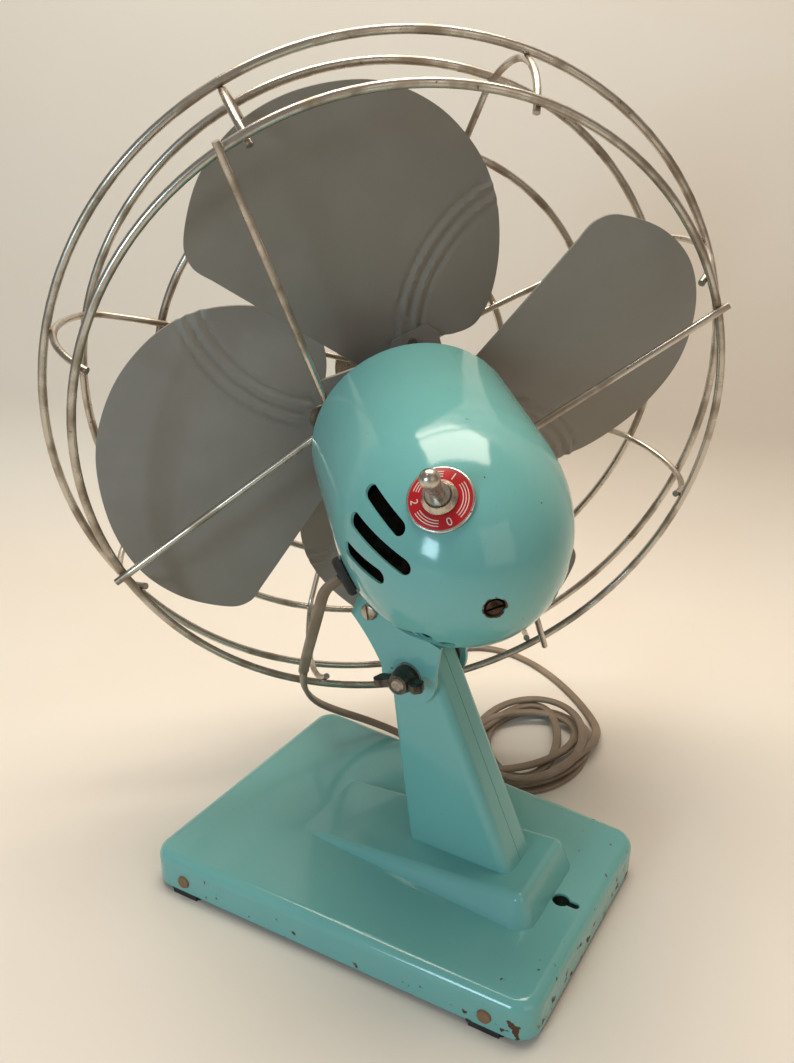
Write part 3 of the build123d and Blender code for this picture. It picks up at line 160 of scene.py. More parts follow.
def enamel(name, chip_fineness, risk_of):
    """Turquoise enamel whose chips fall where risk_of(tree, place) is high."""
    material, tree, shader, place = new_material(name)
    inputs = {"Place": place, "Fineness": chip_fineness, "Risk": risk_of(tree, place)}
    wear = use_group(tree, paint_wear, inputs)
    bare = wear.outputs["Bare"]
    colour = mix_colour(tree, wear.outputs["Tone"], turquoise, turquoise_pale)
    scuff = join_values(tree, "MULTIPLY", wear.outputs["Scuff"], scuff_share)
    bared = mix_colour(tree, bare, mix_colour(tree, scuff, colour, rust), rust)
    tree.links.new(bared, shader.inputs["Base Color"])
    film = mix_value(tree, wear.outputs["Tone"], *film_roughness)
    tree.links.new(mix_value(tree, bare, film, bare_roughness), shader.inputs["Roughness"])
    peel = join_values(tree, "MULTIPLY", wear.outputs["Peel"], peel_share)
    set_bump(tree, shader, join_values(tree, "SUBTRACT", peel, bare), chip_depth, strength=0.6)
    return material


def skirt_risk(tree, place):
    """High on the skirt's lower edge, less up its side, a little more at the rear and less on the top."""
    split = add_node(tree, "SeparateXYZ", {"Vector": place})
    height = split.outputs["Z"]
    low_edge = ramp_value(tree, height, low=3.2 * mm, high=7.8 * mm, at_low=0.41, at_high=0.23)
    side = ramp_value(tree, height, low=7.8 * mm, high=20.5 * mm, at_low=0.23, at_high=0.15)
    on_skirt = join_values(tree, "MINIMUM", low_edge, side)
    rear = ramp_value(tree, split.outputs["Y"], low=90 * mm, high=142 * mm, at_high=0.07)
    upper = ramp_value(tree, height, low=20.7 * mm, high=21.5 * mm, at_high=-0.04)
    return join_values(tree, "ADD", join_values(tree, "ADD", on_skirt, rear), upper)


dress(enamel("base_enamel", chip_fineness=190.0, risk_of=skirt_risk), "base_pan")

# Feet: moulded black rubber blocks inside the skirt, each held by one tan fibre rivet through the sheet.
# The rubber has gone dull and dusty, and the rivets have darkened in patches.
grain_polish = 0.08
grain_dulling = 0.12


def grain_group():
    """Fine grain for soft or moulded surfaces, with a cloudy dust mask."""
    sockets = [("Place", "NodeSocketVector"), ("Fineness", "NodeSocketFloat")]
    tree, start, end = new_group("surface_grain", sockets, ["Grain", "Dust"])
    place = start.outputs["Place"]
    grain = add_node(tree, "TexNoise", {"Vector": place, "Scale": start.outputs["Fineness"], "Detail": 3.0})
    tree.links.new(grain.outputs[0], end.inputs["Grain"])
    dust = add_node(tree, "TexNoise", {"Vector": place, "Scale": 45.0, "Detail": 4.0})
    tree.links.new(ramp_value(tree, dust.outputs[0], low=0.42, high=0.72), end.inputs["Dust"])
    return tree


surface_grain = grain_group()


def grained(name, dark, light, roughness, fineness, depth):
    """A matt material that drifts between two colours, with a fine grain of the given depth."""
    material, tree, shader, place = new_material(name)
    grain = use_group(tree, surface_grain, {"Place": place, "Fineness": fineness})
    tree.links.new(mix_colour(tree, grain.outputs["Dust"], dark, light), shader.inputs["Base Color"])
    smoothest = roughness - grain_polish
    roughest = min(roughness + grain_dulling, 1.0)
    tree.links.new(mix_value(tree, grain.outputs["Grain"], smoothest, roughest), shader.inputs["Roughness"])
    set_bump(tree, shader, grain.outputs["Grain"], depth)
    return material


black_rubber = grained(
    "black_rubber",
    dark=(0.012, 0.012, 0.012, 1),
    light=(0.035, 0.033, 0.03, 1),
    roughness=0.62,
    fineness=900.0,
    depth=0.15 * mm,
)
dress(black_rubber, "rubber_feet")
tan_fibre = grained(
    "tan_fibre",
    dark=(0.2, 0.115, 0.055, 1),
    light=(0.36, 0.235, 0.13, 1),
    roughness=0.6,
    fineness=700.0,
    depth=0.1 * mm,
)
dress(tan_fibre, "foot_rivets")

# Post: two pressed halves in the same enamel, set edge to edge so that a dark seam runs down the rear.
# Screws from below hold it to the ramp, and a steel spacer inside keeps the halves apart at the pivot.
tarnish_dulling = 0.22
pit_shade = (0.35, 0.3, 0.28)
pit_depth = 0.04 * mm


def post_risk(tree, place):
    """A few chips, more of them round the foot."""
    height = add_node(tree, "SeparateXYZ", {"Vector": place}).outputs["Z"]
    return ramp_value(tree, height, low=30 * mm, high=50 * mm, at_low=0.16, at_high=0.11)


dress(enamel("post_enamel", chip_fineness=210.0, risk_of=post_risk), "post_left", "post_right")


def tarnish_group():
    """Tarnish of bare or plated metal: clouds that dull it, and small dark specks."""
    sockets = [("Place", "NodeSocketVector"), ("Fineness", "NodeSocketFloat")]
    tree, start, end = new_group("metal_tarnish", sockets, ["Dull", "Speck"])
    place = start.outputs["Place"]
    clouds = add_node(tree, "TexNoise", {"Vector": place, "Scale": start.outputs["Fineness"], "Detail": 5.0})
    tree.links.new(ramp_value(tree, clouds.outputs[0], low=0.42, high=0.66), end.inputs["Dull"])
    specks = add_node(tree, "TexNoise", {"Vector": place, "Scale": 480.0, "Detail": 3.0})
    tree.links.new(ramp_value(tree, specks.outputs[0], low=0.68, high=0.76), end.inputs["Speck"])
    return tree


metal_tarnish = tarnish_group()


def worn_metal(name, bright, dull, roughness, fineness):
    """Bare or plated metal that tarnishes from one colour to another."""
    material, tree, shader, place = new_material(name, metallic=1.0)
    tarnish = use_group(tree, metal_tarnish, {"Place": place, "Fineness": fineness})
    clouded = mix_colour(tree, tarnish.outputs["Dull"], bright, dull)
    pit = (*[channel * shade for channel, shade in zip(dull, pit_shade)], 1)
    tree.links.new(mix_colour(tree, tarnish.outputs["Speck"], clouded, pit), shader.inputs["Base Color"])
    dulled = mix_value(tree, tarnish.outputs["Dull"], roughness, roughness + tarnish_dulling)
    tree.links.new(dulled, shader.inputs["Roughness"])
    set_bump(tree, shader, tarnish.outputs["Speck"], pit_depth, strength=0.5)
    return material


screw_steel = worn_metal(
    "screw_steel",
    bright=(0.5, 0.45, 0.38, 1),
    dull=(0.22, 0.18, 0.14, 1),
    roughness=0.32,
    fineness=160.0,
)
dress(screw_steel, "post_screws", "pivot_spacer")

# Tilt bracket: two stamped cheek plates and a neck block between them, enamelled with the stand.
# Slotted screws pin the block, and fibre washers let the cheeks turn on the post under the bolt's grip.


def bracket_risk(tree, place):
    """An even, low chance of chips."""
    height = add_node(tree, "SeparateXYZ", {"Vector": place}).outputs["Z"]
    return ramp_value(tree, height, low=100 * mm, high=160 * mm, at_low=0.17, at_high=0.15)


bracket_enamel = enamel("bracket_enamel", chip_fineness=260.0, risk_of=bracket_risk)
dress(bracket_enamel, "bracket_left", "bracket_right", "neck_block")
dress(screw_steel, "ear_screws", "bolt_washers", "pivot_bolt")
washer_fibre = grained(
    "washer_fibre",
    dark=(0.06, 0.035, 0.02, 1),
    light=(0.12, 0.075, 0.045, 1),
    roughness=0.8,
    fineness=600.0,
    depth=0.1 * mm,
)
dress(washer_fibre, "friction_washers")

# Wing nut: a small steel forging, blackened, that locks the bracket's tilt on the pivot bolt.
# Fingers have worn its hub and wings to a dull brown shine.
dark_forging = worn_metal(
    "dark_forging",
    bright=(0.12, 0.105, 0.09, 1),
    dull=(0.05, 0.042, 0.036, 1),
    roughness=0.38,
    fineness=240.0,
)
dress(dark_forging, "wing_nut")

# Neck and motor: a turned steel stud carries the cast motor, whose core, windings and bushes show only as
# shapes behind the housing's vents and the front plate.
dress(screw_steel, "swivel_stud", "swivel_washer", "swivel_nut", "rotor_shaft")
bell_metal = worn_metal(
    "bell_metal",
    bright=(0.24, 0.235, 0.225, 1),
    dull=(0.12, 0.115, 0.11, 1),
    roughness=0.5,
    fineness=90.0,
)
dress(bell_metal, "motor_front_bell")
# Near-black for the motor's inner parts: partly the iron's own dark tone, partly painted shade for their
# place deep inside the housing.
core_iron = worn_metal(
    "core_iron",
    bright=(0.03, 0.028, 0.026, 1),
    dull=(0.014, 0.012, 0.011, 1),
    roughness=0.6,
    fineness=200.0,
)
dress(core_iron, "motor_rear_bell", "stator_core", "rotor_core", "through_bolts", "housing_stay")
winding_varnish = grained(
    "winding_varnish",
    dark=(0.16, 0.05, 0.018, 1),
    light=(0.24, 0.085, 0.03, 1),
    roughness=0.4,
    fineness=500.0,
    depth=0.4 * mm,
)
dress(winding_varnish, "stator_windings")
bush_bronze = worn_metal(
    "bush_bronze",
    bright=(0.4, 0.25, 0.11, 1),
    dull=(0.2, 0.12, 0.06, 1),
    roughness=0.4,
    fineness=150.0,
)
dress(bush_bronze, "front_bearing", "rear_bearing")

# Housing: a spun steel shell with three groups of vents, enamelled, held by one slotted screw at its pole.
# A black rubber grommet lines the cord's hole.
joints = {joint["name"]: joint for joint in frame["record"]["behaviour"]["joints"]}
dome_length = 67 * mm
pole_hole = 4.3 * mm
pole_stain = 6.2 * mm


def head_matrix():
    """The head's own frame: x to its left, y to its rear, z up the neck, origin where the axes cross."""
    rear = -Vector(joints["blade_spin"]["axis"])
    up = Vector(joints["head_swivel"]["axis"])
    turn = Matrix((rear.cross(up), rear, up)).transposed().to_4x4()
    return Matrix.Translation(Vector(joints["blade_spin"]["pos_m"])) @ turn


head = head_matrix()
pole = head @ Vector((0, dome_length, 0))


def housing_risk(tree, place):
    """Hardly any chips: a few specks over the crown, and a rusty edge round the pole screw's hole."""
    height = add_node(tree, "SeparateXYZ", {"Vector": place}).outputs["Z"]
    crown = ramp_value(tree, height, low=150 * mm, high=250 * mm, at_low=0.12, at_high=0.145)
    away = add_node(tree, "VectorMath", {0: place, 1: pole}, operation="DISTANCE").outputs["Value"]
    edge = ramp_value(tree, away, low=pole_hole, high=pole_stain, at_low=0.46, at_high=0.12)
    return join_values(tree, "MAXIMUM", crown, edge)


dress(enamel("housing_enamel", chip_fineness=330.0, risk_of=housing_risk), "housing_shell")
pole_screw_steel = worn_metal(
    "pole_screw_steel",
    bright=(0.075, 0.05, 0.034, 1),
    dull=(0.03, 0.02, 0.014, 1),
    roughness=0.36,
    fineness=300.0,
)
dress(pole_screw_steel, "housing_screw")
dress(black_rubber, "cord_grommet")

# Dial: a dished red plate with a bright rim, printed with plain numbers and fine arcs between them.
# A round nut clamps it over the switch's bush, and a ball-ended lever turns in the middle.
dial_bend = 52 * mm
dial_face = 1.5 * mm
dial_edge = 12.6 * mm
dial_angle = 39.0
dial_red = (0.42, 0.008, 0.012, 1)
dial_red_worn = (0.55, 0.018, 0.022, 1)
dial_roughness = 0.24
rim_width = 0.7 * mm
rim_sink = 0.2 * mm
rim_lip = 0.04 * mm
rim_crown = 0.16 * mm
rim_fall = 0.08 * mm
rim_wrap = 0.18 * mm
rim_depth = 0.9 * mm
rim_tuck = 0.1 * mm
rim_steps = 96
number_places = (("0", 86.0), ("1", 214.0), ("2", 340.0))
number_radius = 9.7 * mm
number_size = 4.3 * mm
arc_radii = (8.5 * mm, 9.5 * mm, 10.5 * mm)
arc_width = 0.32 * mm
arc_clear = 24.0
arc_steps = 28
print_lift = 0.05 * mm
print_ink = 0.12 * mm


def dial_matrix():
    """The dial's frame: z out of the housing along the lever, x round the fan's axis."""
    out = Vector(joints["switch_turn"]["axis"])
    ahead = math.radians(dial_angle + 90)
    side = head.to_3x3() @ Vector((math.sin(ahead), 0, math.cos(ahead)))
    turn = Matrix((side, out.cross(side), out)).transposed().to_4x4()
    return Matrix.Translation(Vector(joints["switch_turn"]["pos_m"])) @ turn


dial = dial_matrix()


def dial_height(radius):
    """Height of the dished plate's front face over the housing at a radius."""
    return dial_face - dial_bend + math.sqrt(dial_bend**2 - radius**2)


def finish_mesh(name, work, matrix, material, smooth=35.0):
    """Turn a bmesh into a piece at the origin with its place in its mesh, and its sharp edges kept."""
    bmesh.ops.remove_doubles(work, verts=work.verts, dist=1e-7)
    work.transform(matrix)
    bmesh.ops.recalc_face_normals(work, faces=work.faces)
    mesh = bpy.data.meshes.new(name)
    work.to_mesh(mesh)
    work.free()
    mesh.materials.append(material)
    mesh.shade_smooth()
    mesh.set_sharp_from_angle(angle=math.radians(smooth))
    piece = bpy.data.objects.new(name, mesh)
    bpy.context.scene.collection.objects.link(piece)
    return piece


def lathe(profile, steps):
    """A bmesh turned about z from a closed loop of (radius, height) points."""
    work = bmesh.new()
    rings = []
    for i in range(steps):
        angle = 2 * math.pi * i / steps
        rings.append([work.verts.new((r * math.cos(angle), r * math.sin(angle), z)) for r, z in profile])
    for ring, after in zip(rings, rings[1:] + rings[:1]):
        for j in range(len(profile)):
            k = (j + 1) % len(profile)
            work.faces.new((ring[j], after[j], after[k], ring[k]))
    return work


def dial_red_material():
    """Glossy red stoving paint, a little paler in patches."""
    material, tree, shader, place = new_material("dial_red")
    shader.inputs["Roughness"].default_value = dial_roughness
    grain = use_group(tree, surface_grain, {"Place": place, "Fineness": 500.0})
    colour = mix_colour(tree, grain.outputs["Dust"], dial_red, dial_red_worn)
    tree.links.new(colour, shader.inputs["Base Color"])
    set_bump(tree, shader, grain.outputs["Grain"], 0.02 * mm)
    return material


dress(dial_red_material(), "dial_plate")
bright_plate = worn_metal(
    "bright_plate",
    bright=(0.72, 0.69, 0.64, 1),
    dull=(0.46, 0.42, 0.37, 1),
    roughness=0.2,
    fineness=260.0,
)
rim_inner = dial_edge - rim_width
rim_middle = dial_edge - rim_width / 2
rim_outer = dial_edge + rim_wrap
rim_profile = [
    (rim_inner, dial_height(rim_inner) - rim_sink),
    (rim_inner, dial_height(rim_inner) + rim_lip),
    (rim_middle, dial_height(rim_middle) + rim_crown),
    (dial_edge, dial_height(dial_edge) + rim_fall),
    (rim_outer, dial_height(dial_edge) - rim_sink),
    (rim_outer, dial_height(dial_edge) - rim_depth),
    (dial_edge - rim_tuck, dial_height(dial_edge) - rim_depth),
]
dial_rim = finish_mesh("dial_rim", lathe(rim_profile, rim_steps), dial, bright_plate)
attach(dial_rim, "motor_head")


def number_mesh(text, angle):
    """One printed number on the dish, its top towards the dial's centre."""
    curve = bpy.data.curves.new("number", "FONT")
    curve.body = text
    curve.size = number_size
    curve.extrude = print_ink / 2
    curve.align_x = "CENTER"
    curve.align_y = "CENTER"
    holder = bpy.data.objects.new("number", curve)
    bpy.context.scene.collection.objects.link(holder)
    bpy.context.view_layer.update()
    mesh = bpy.data.meshes.new_from_object(holder.evaluated_get(bpy.context.evaluated_depsgraph_get()))
    bpy.data.objects.remove(holder)
    around = Matrix.Rotation(math.radians(angle), 4, "Z")
    out = Matrix.Translation((number_radius, 0, dial_height(number_radius) + print_lift - print_ink / 2))
    dish = Matrix.Rotation(math.asin(number_radius / dial_bend), 4, "Y")
    upright = Matrix.Rotation(math.radians(90), 4, "Z")
    mesh.transform(around @ out @ dish @ upright)
    return mesh


def arc_strip(work, radius, start, end):
    """One printed line between two angles, following the dish."""
    rows = []
    for i in range(arc_steps + 1):
        angle = math.radians(start + (end - start) * i / arc_steps)
        row = []
        for offset, lift in ((-0.5, -print_ink), (-0.5, print_lift), (0.5, print_lift), (0.5, -print_ink)):
            r = radius + offset * arc_width
            row.append(work.verts.new((r * math.cos(angle), r * math.sin(angle), dial_height(r) + lift)))
        rows.append(row)
    for row, after in zip(rows, rows[1:]):
        for j in range(4):
            k = (j + 1) % 4
            work.faces.new((row[j], after[j], after[k], row[k]))
    work.faces.new(rows[0])
    work.faces.new(rows[-1])


dial_work = bmesh.new()
for text, angle in number_places:
    dial_work.from_mesh(number_mesh(text, angle))
arc_starts = [angle for text, angle in number_places]
for start, end in zip(arc_starts, arc_starts[1:] + [arc_starts[0] + 360]):
    for radius in arc_radii:
        arc_strip(dial_work, radius, start + arc_clear, end - arc_clear)
dial_ink = grained(
    "dial_ink",
    dark=(0.62, 0.56, 0.5, 1),
    light=(0.74, 0.69, 0.63, 1),
    roughness=0.4,
    fineness=900.0,
    depth=0.01 * mm,
)
dial_print = finish_mesh("dial_print", dial_work, dial, dial_ink)
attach(dial_print, "motor_head")

switch_nickel = worn_metal(
    "switch_nickel",
    bright=(0.58, 0.53, 0.46, 1),
    dull=(0.4, 0.34, 0.28, 1),
    roughness=0.24,
    fineness=300.0,
)
dress(switch_nickel, "switch_nut", "switch_lever", "switch_body")

# Guard: five rings of drawn steel wire with eight bent ribs spot-welded inside them, nickel plated.
# Two V-shaped arms, welded behind the rear ring, are clamped to the motor's front plate by slotted screws.
nickel_wire = worn_metal(
    "nickel_wire",
    bright=(0.58, 0.53, 0.47, 1),
    dull=(0.33, 0.27, 0.215, 1),
    roughness=0.24,
    fineness=60.0,
)
guard_rings = [name for name in nodes if name.startswith("guard_ring_")]
dress(nickel_wire, *guard_rings, "guard_ribs", "guard_arm_left", "guard_arm_right", "guard_badge")
dress(screw_steel, "guard_screws")

# Blades: four sheets pressed with a camber and three curved grooves, sprayed a warm grey and riveted to a
# spider whose boss is pinned to the shaft with one set screw.
blade_edge_points = (
    (-27, 31),
    (-37, 26.5),
    (-50, 26),
    (-62, 36.5),
    (-71.5, 56),
    (-75.5, 80),
    (-70.5, 104.5),
    (-56, 129),
    (-32, 148),
    (0, 156),
    (28, 153),
    (50, 140),
    (65, 120),
    (66.5, 108),
    (60.5, 99),
)
blade_root_points = ((14, 36), (10, 21), (-24, 21))
blade_middle = (-5, 88)
blade_sheet = 1.3
blade_span = (-76.0, 67.0)
blade_ends = (-119.0, -79.0)
blade_camber = 5.0
blade_count = 4
blade_first = math.radians(31)
groove_centre = (-77.5, 14.5)
groove_radii = (57.75, 77.25)
groove_pitch = 6.5
groove_depth = 0.85
groove_ease = 1.5
groove_root = (24.0, 38.0)
blade_rings = 46
edge_steps = 10
root_step = 3.5
blade_smooth = 40.0
grey_paint = (0.222, 0.203, 0.176, 1)
grey_dusty = (0.24, 0.221, 0.193, 1)
# Painted shade colour for the blades' root near the boss.
root_painted_shade = (0.07, 0.06, 0.05, 1)
grey_roughness = (0.46, 0.64)


def smooth_step(value, low, high):
    """0 below low, 1 above high, smooth between."""
    t = min(max((value - low) / (high - low), 0), 1)
    return t * t * (3 - 2 * t)


def blade_outline():
    """The blade's closed outline in mm: a smooth edge through its points and straight sides at the root."""
    points = [Vector(p) for p in blade_edge_points]
    outline = []
    for i in range(len(points) - 1):
        before = points[max(i - 1, 0)]
        after = points[min(i + 2, len(points) - 1)]
        lead = (points[i + 1] - before) / 2
        trail = (after - points[i]) / 2
        for j in range(edge_steps):
            t = j / edge_steps
            outline.append(
                points[i] * (2 * t**3 - 3 * t**2 + 1)
                + lead * (t**3 - 2 * t**2 + t)
                + points[i + 1] * (3 * t**2 - 2 * t**3)
                + trail * (t**3 - t**2)
            )
    corners = [points[-1]] + [Vector(p) for p in blade_root_points] + [points[0]]
    for first, second in zip(corners, corners[1:]):
        steps = max(2, round((second - first).length / root_step))
        outline += [first.lerp(second, j / steps) for j in range(steps)]
    return outline


def blade_height(x, z):
    """Place along the fan's axis of the blade's front face, with its camber and pressed grooves."""
    middle = sum(blade_span) / 2
    half = (blade_span[1] - blade_span[0]) / 2
    across = (x - middle) / half
    sheet = sum(blade_ends) / 2 + across * (blade_ends[1] - blade_ends[0]) / 2
    sheet += blade_camber * (1 - across**2)
    reach = math.hypot(x - groove_centre[0], z - groove_centre[1])
    inside = smooth_step(reach, groove_radii[0], groove_radii[0] + groove_ease)
    inside *= 1 - smooth_step(reach, groove_radii[1] - groove_ease, groove_radii[1])
    inside *= smooth_step(z, *groove_root)
    phase = 2 * math.pi * (reach - groove_radii[0] - groove_pitch) / groove_pitch
    return sheet + groove_depth * inside * math.cos(phase)


def blade_mesh():
    """One blade in the head's frame: front and rear faces that share a rim."""
    outline = blade_outline()
    middle = Vector(blade_middle)
    work = bmesh.new()
    rims = []
    for lift in (0.0, blade_sheet):
        rings = []
        for ring in range(1, blade_rings + 1):
            share = ring / blade_rings
            row = []
            for point in outline:
                x, z = middle.lerp(point, share)
                row.append(work.verts.new(Vector((x, blade_height(x, z) + lift, z)) * mm))
            rings.append(row)
        centre = work.verts.new(Vector((middle.x, blade_height(*middle) + lift, middle.y)) * mm)
        for j in range(len(outline)):
            k = (j + 1) % len(outline)
            work.faces.new((centre, rings[0][j], rings[0][k]))
            for inner, outer in zip(rings, rings[1:]):
                work.faces.new((inner[j], outer[j], outer[k], inner[k]))
        rims.append(rings[-1])
    for j in range(len(outline)):
        k = (j + 1) % len(outline)
        work.faces.new((rims[0][j], rims[1][j], rims[1][k], rims[0][k]))
    bmesh.ops.recalc_face_normals(work, faces=work.faces)
    mesh = bpy.data.meshes.new("one_blade")
    work.to_mesh(mesh)
    work.free()
    return mesh


def turn_array(name, material):
    """Geometry node tree that repeats a mesh round the fan's axis, with a count and a first angle."""
    tree = bpy.data.node_groups.new(name, "GeometryNodeTree")
    tree.interface.new_socket("Piece", in_out="INPUT", socket_type="NodeSocketGeometry")
    count = tree.interface.new_socket("Count", in_out="INPUT", socket_type="NodeSocketInt")
    first = tree.interface.new_socket("First angle", in_out="INPUT", socket_type="NodeSocketFloat")
    tree.interface.new_socket("Set", in_out="OUTPUT", socket_type="NodeSocketGeometry")
    start = tree.nodes.new("NodeGroupInput")
    end = tree.nodes.new("NodeGroupOutput")
    points = tree.nodes.new("GeometryNodePoints")
    index = tree.nodes.new("GeometryNodeInputIndex")
    step = tree.nodes.new("ShaderNodeMath")
    step.operation = "DIVIDE"
    step.inputs[0].default_value = 2 * math.pi
    angle = tree.nodes.new("ShaderNodeMath")
    angle.operation = "MULTIPLY_ADD"
    turn = tree.nodes.new("ShaderNodeCombineXYZ")
    place = tree.nodes.new("GeometryNodeInstanceOnPoints")
    real = tree.nodes.new("GeometryNodeRealizeInstances")
    finish = tree.nodes.new("GeometryNodeSetMaterial")
    finish.inputs["Material"].default_value = material
    link = tree.links.new
    link(start.outputs["Count"], points.inputs["Count"])
    link(start.outputs["Count"], step.inputs[1])
    link(index.outputs[0], angle.inputs[0])
    link(step.outputs[0], angle.inputs[1])
    link(start.outputs["First angle"], angle.inputs[2])
    link(angle.outputs[0], turn.inputs["Y"])
    link(points.outputs[0], place.inputs["Points"])
    link(start.outputs["Piece"], place.inputs["Instance"])
    link(turn.outputs[0], place.inputs["Rotation"])
    link(place.outputs[0], real.inputs[0])
    link(real.outputs[0], finish.inputs["Geometry"])
    link(finish.outputs[0], end.inputs[0])
    return tree, count.identifier, first.identifier


def repeat_round(name, mesh, count, first, material):
    """A piece made of one mesh repeated round the fan's axis, at the origin with its place in its mesh."""
    tree, count_socket, first_socket = turn_array(name + "_array", material)
    holder = bpy.data.objects.new(name, mesh)
    bpy.context.scene.collection.objects.link(holder)
    array = holder.modifiers.new("array", "NODES")
    array.node_group = tree
    array[count_socket] = count
    array[first_socket] = first
    bpy.context.view_layer.update()
    whole = bpy.data.meshes.new_from_object(holder.evaluated_get(bpy.context.evaluated_depsgraph_get()))
    holder.modifiers.clear()
    holder.data = whole
    whole.transform(head)
    whole.shade_smooth()
    whole.set_sharp_from_angle(angle=math.radians(blade_smooth))
    return holder


def blade_grey_material():
    """Matt warm grey paint, dustier in patches, with painted shade darkening it towards the boss."""
    material, tree, shader, place = new_material("blade_grey")
    grain = use_group(tree, surface_grain, {"Place": place, "Fineness": 700.0})
    colour = mix_colour(tree, grain.outputs["Dust"], grey_paint, grey_dusty)
    hub = add_node(tree, "Mapping", {"Vector": place, "Location": -Vector(joints["blade_spin"]["pos_m"])})
    away = add_node(tree, "VectorMath", {0: hub.outputs[0]}, operation="LENGTH").outputs["Value"]
    # Painted shade: the grey darkens near the boss, where the blades lie in shade.
    root_shade = ramp_value(tree, away, low=85 * mm, high=125 * mm, at_low=0.35, at_high=0.0)
    tree.links.new(mix_colour(tree, root_shade, colour, root_painted_shade), shader.inputs["Base Color"])
    tree.links.new(mix_value(tree, grain.outputs["Dust"], *grey_roughness), shader.inputs["Roughness"])
    set_bump(tree, shader, grain.outputs["Grain"], 0.05 * mm)
    return material


blade_grey = blade_grey_material()
fan_blades = repeat_round("fan_blades", blade_mesh(), blade_count, blade_first, blade_grey)
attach(fan_blades, "rotor")
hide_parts("blade_1", "blade_2", "blade_3", "blade_4")
dress(blade_grey, "blade_spider")
dress(screw_steel, "set_screw", "blade_rivets")

# Cord: flat twin lead in soft taupe plastic. It leaves the grommet, hangs past the guard to the base's far
# edge, lies in a loose bundle of loops on the floor, and ends in a moulded plug.
cord_width = 5.2 * mm
cord_thickness = 2.7 * mm
web_share = 0.62
flank_share = 0.9
section_steps = 20
floor_settle = 0.2
settle_heights = (12 * mm, 30 * mm)
tilt_pivot = (0, 11, 123)
stand_origin = Vector(joints["head_tilt"]["pos_m"]) - Vector(tilt_pivot) * mm
bracket_point = (10, -51.5, 103)
swing_point = (-26, -72.5, 60)
base_point = (-74.5, -45, 21)
cord_hang = [
    (38.848, -8.269, 174.767),
    (41.2, -11.4, 172.4),
    (41.8, -14.9, 167.6),
    (39, -19, 158.6),
    (33, -27, 143),
    (23, -38.5, 123.5),
    bracket_point,
    (-6, -64, 81.5),
    swing_point,
    (-47, -73, 42.5),
    (-63, -62, 31),
    base_point,
    (-80, -29, 9.5),
    (-81, -15, 3.0),
    (-79.5, -2, 1.5),
]
# Each turn: its centre, half its length and width, skew, height, tilt, and where its high side lies.
loop_turns = [
    ((-127, 11), 46.5, 35.5, 0.0, 1.5, 0.0, 0),
    ((-126, 16), 43.5, 30.0, 0.1, 2.9, 1.5, 80),
    ((-132, 7), 37.5, 24.0, -0.2, 4.9, 2.0, 190),
    ((-123, 9), 39.0, 27.0, 0.24, 7.0, 1.8, 320),
    ((-128, 12), 44.0, 33.0, -0.05, 9.3, 1.6, 120),
]
loop_steps = 14
turn_hold = 0.35
cord_tail = [
    (-137, 46.8, 8.6),
    (-150, 46.2, 6.6),
    (-165, 43, 3.6),
    (-181, 32, 1.6),
    (-198, 14, 1.5),
    (-214, -8, 1.5),
    (-225, -31, 1.5),
    (-229, -54, 1.5),
    (-222, -74, 2.0),
    (-208, -83.5, 4.2),
    (-198, -85, 6.5),
    (-186, -86, 6.5),
]


def on_stand(point):
    """A place given in mm from the middle of the stand's foot."""
    return stand_origin + Vector(point) * mm


def loop_points():
    """Route points of the bundle: each turn an ellipse with its own centre, size, skew, height and tilt."""
    points = []
    last = len(loop_turns) * loop_steps + loop_steps // 4
    for i in range(1, last):
        share = i / loop_steps
        index = min(int(share), len(loop_turns) - 1)
        after = min(index + 1, len(loop_turns) - 1)
        blend = smooth_step(share - index, turn_hold, 1.0)
        angle = 2 * math.pi * share
        spot = Vector((0, 0, 0))
        for (centre, long, wide, skew, height, tilt, high_side), weight in (
            (loop_turns[index], 1 - blend),
            (loop_turns[after], blend),
        ):
            x = centre[0] + long * math.cos(angle + skew)
            y = centre[1] + wide * math.sin(angle - skew)
            z = height + tilt * math.cos(angle - math.radians(high_side))
            spot += Vector((x, y, z)) * weight
        points.append(spot)
    return points


def cord_line(points):
    """Points read along one smooth NURBS spline through the cord's route."""
    curve = bpy.data.curves.new("cord_route", "CURVE")
    curve.dimensions = "3D"
    curve.resolution_u = 8
    spline = curve.splines.new("NURBS")
    spline.points.add(len(points) - 1)
    for control, point in zip(spline.points, points):
        control.co = (*on_stand(point), 1)
    spline.order_u = 3
    spline.use_endpoint_u = True
    holder = bpy.data.objects.new("cord_route", curve)
    bpy.context.scene.collection.objects.link(holder)
    bpy.context.view_layer.update()
    mesh = bpy.data.meshes.new_from_object(holder.evaluated_get(bpy.context.evaluated_depsgraph_get()))
    line = [vertex.co.copy() for vertex in mesh.vertices]
    bpy.data.objects.remove(holder)
    return line


def cord_section():
    """Outline of the flat twin lead: two round cores joined by a thin web."""
    core = cord_thickness / 2
    offset = cord_width / 2 - core
    section = []
    for i in range(section_steps):
        angle = 2 * math.pi * (i + 0.5) / section_steps
        side = 1 if math.cos(angle) > 0 else -1
        x = side * offset + core * math.cos(angle)
        y = core * math.sin(angle)
        if abs(x) < offset:
            y = math.copysign(max(abs(y) * flank_share, core * web_share), y)
        section.append((x, y))
    return section


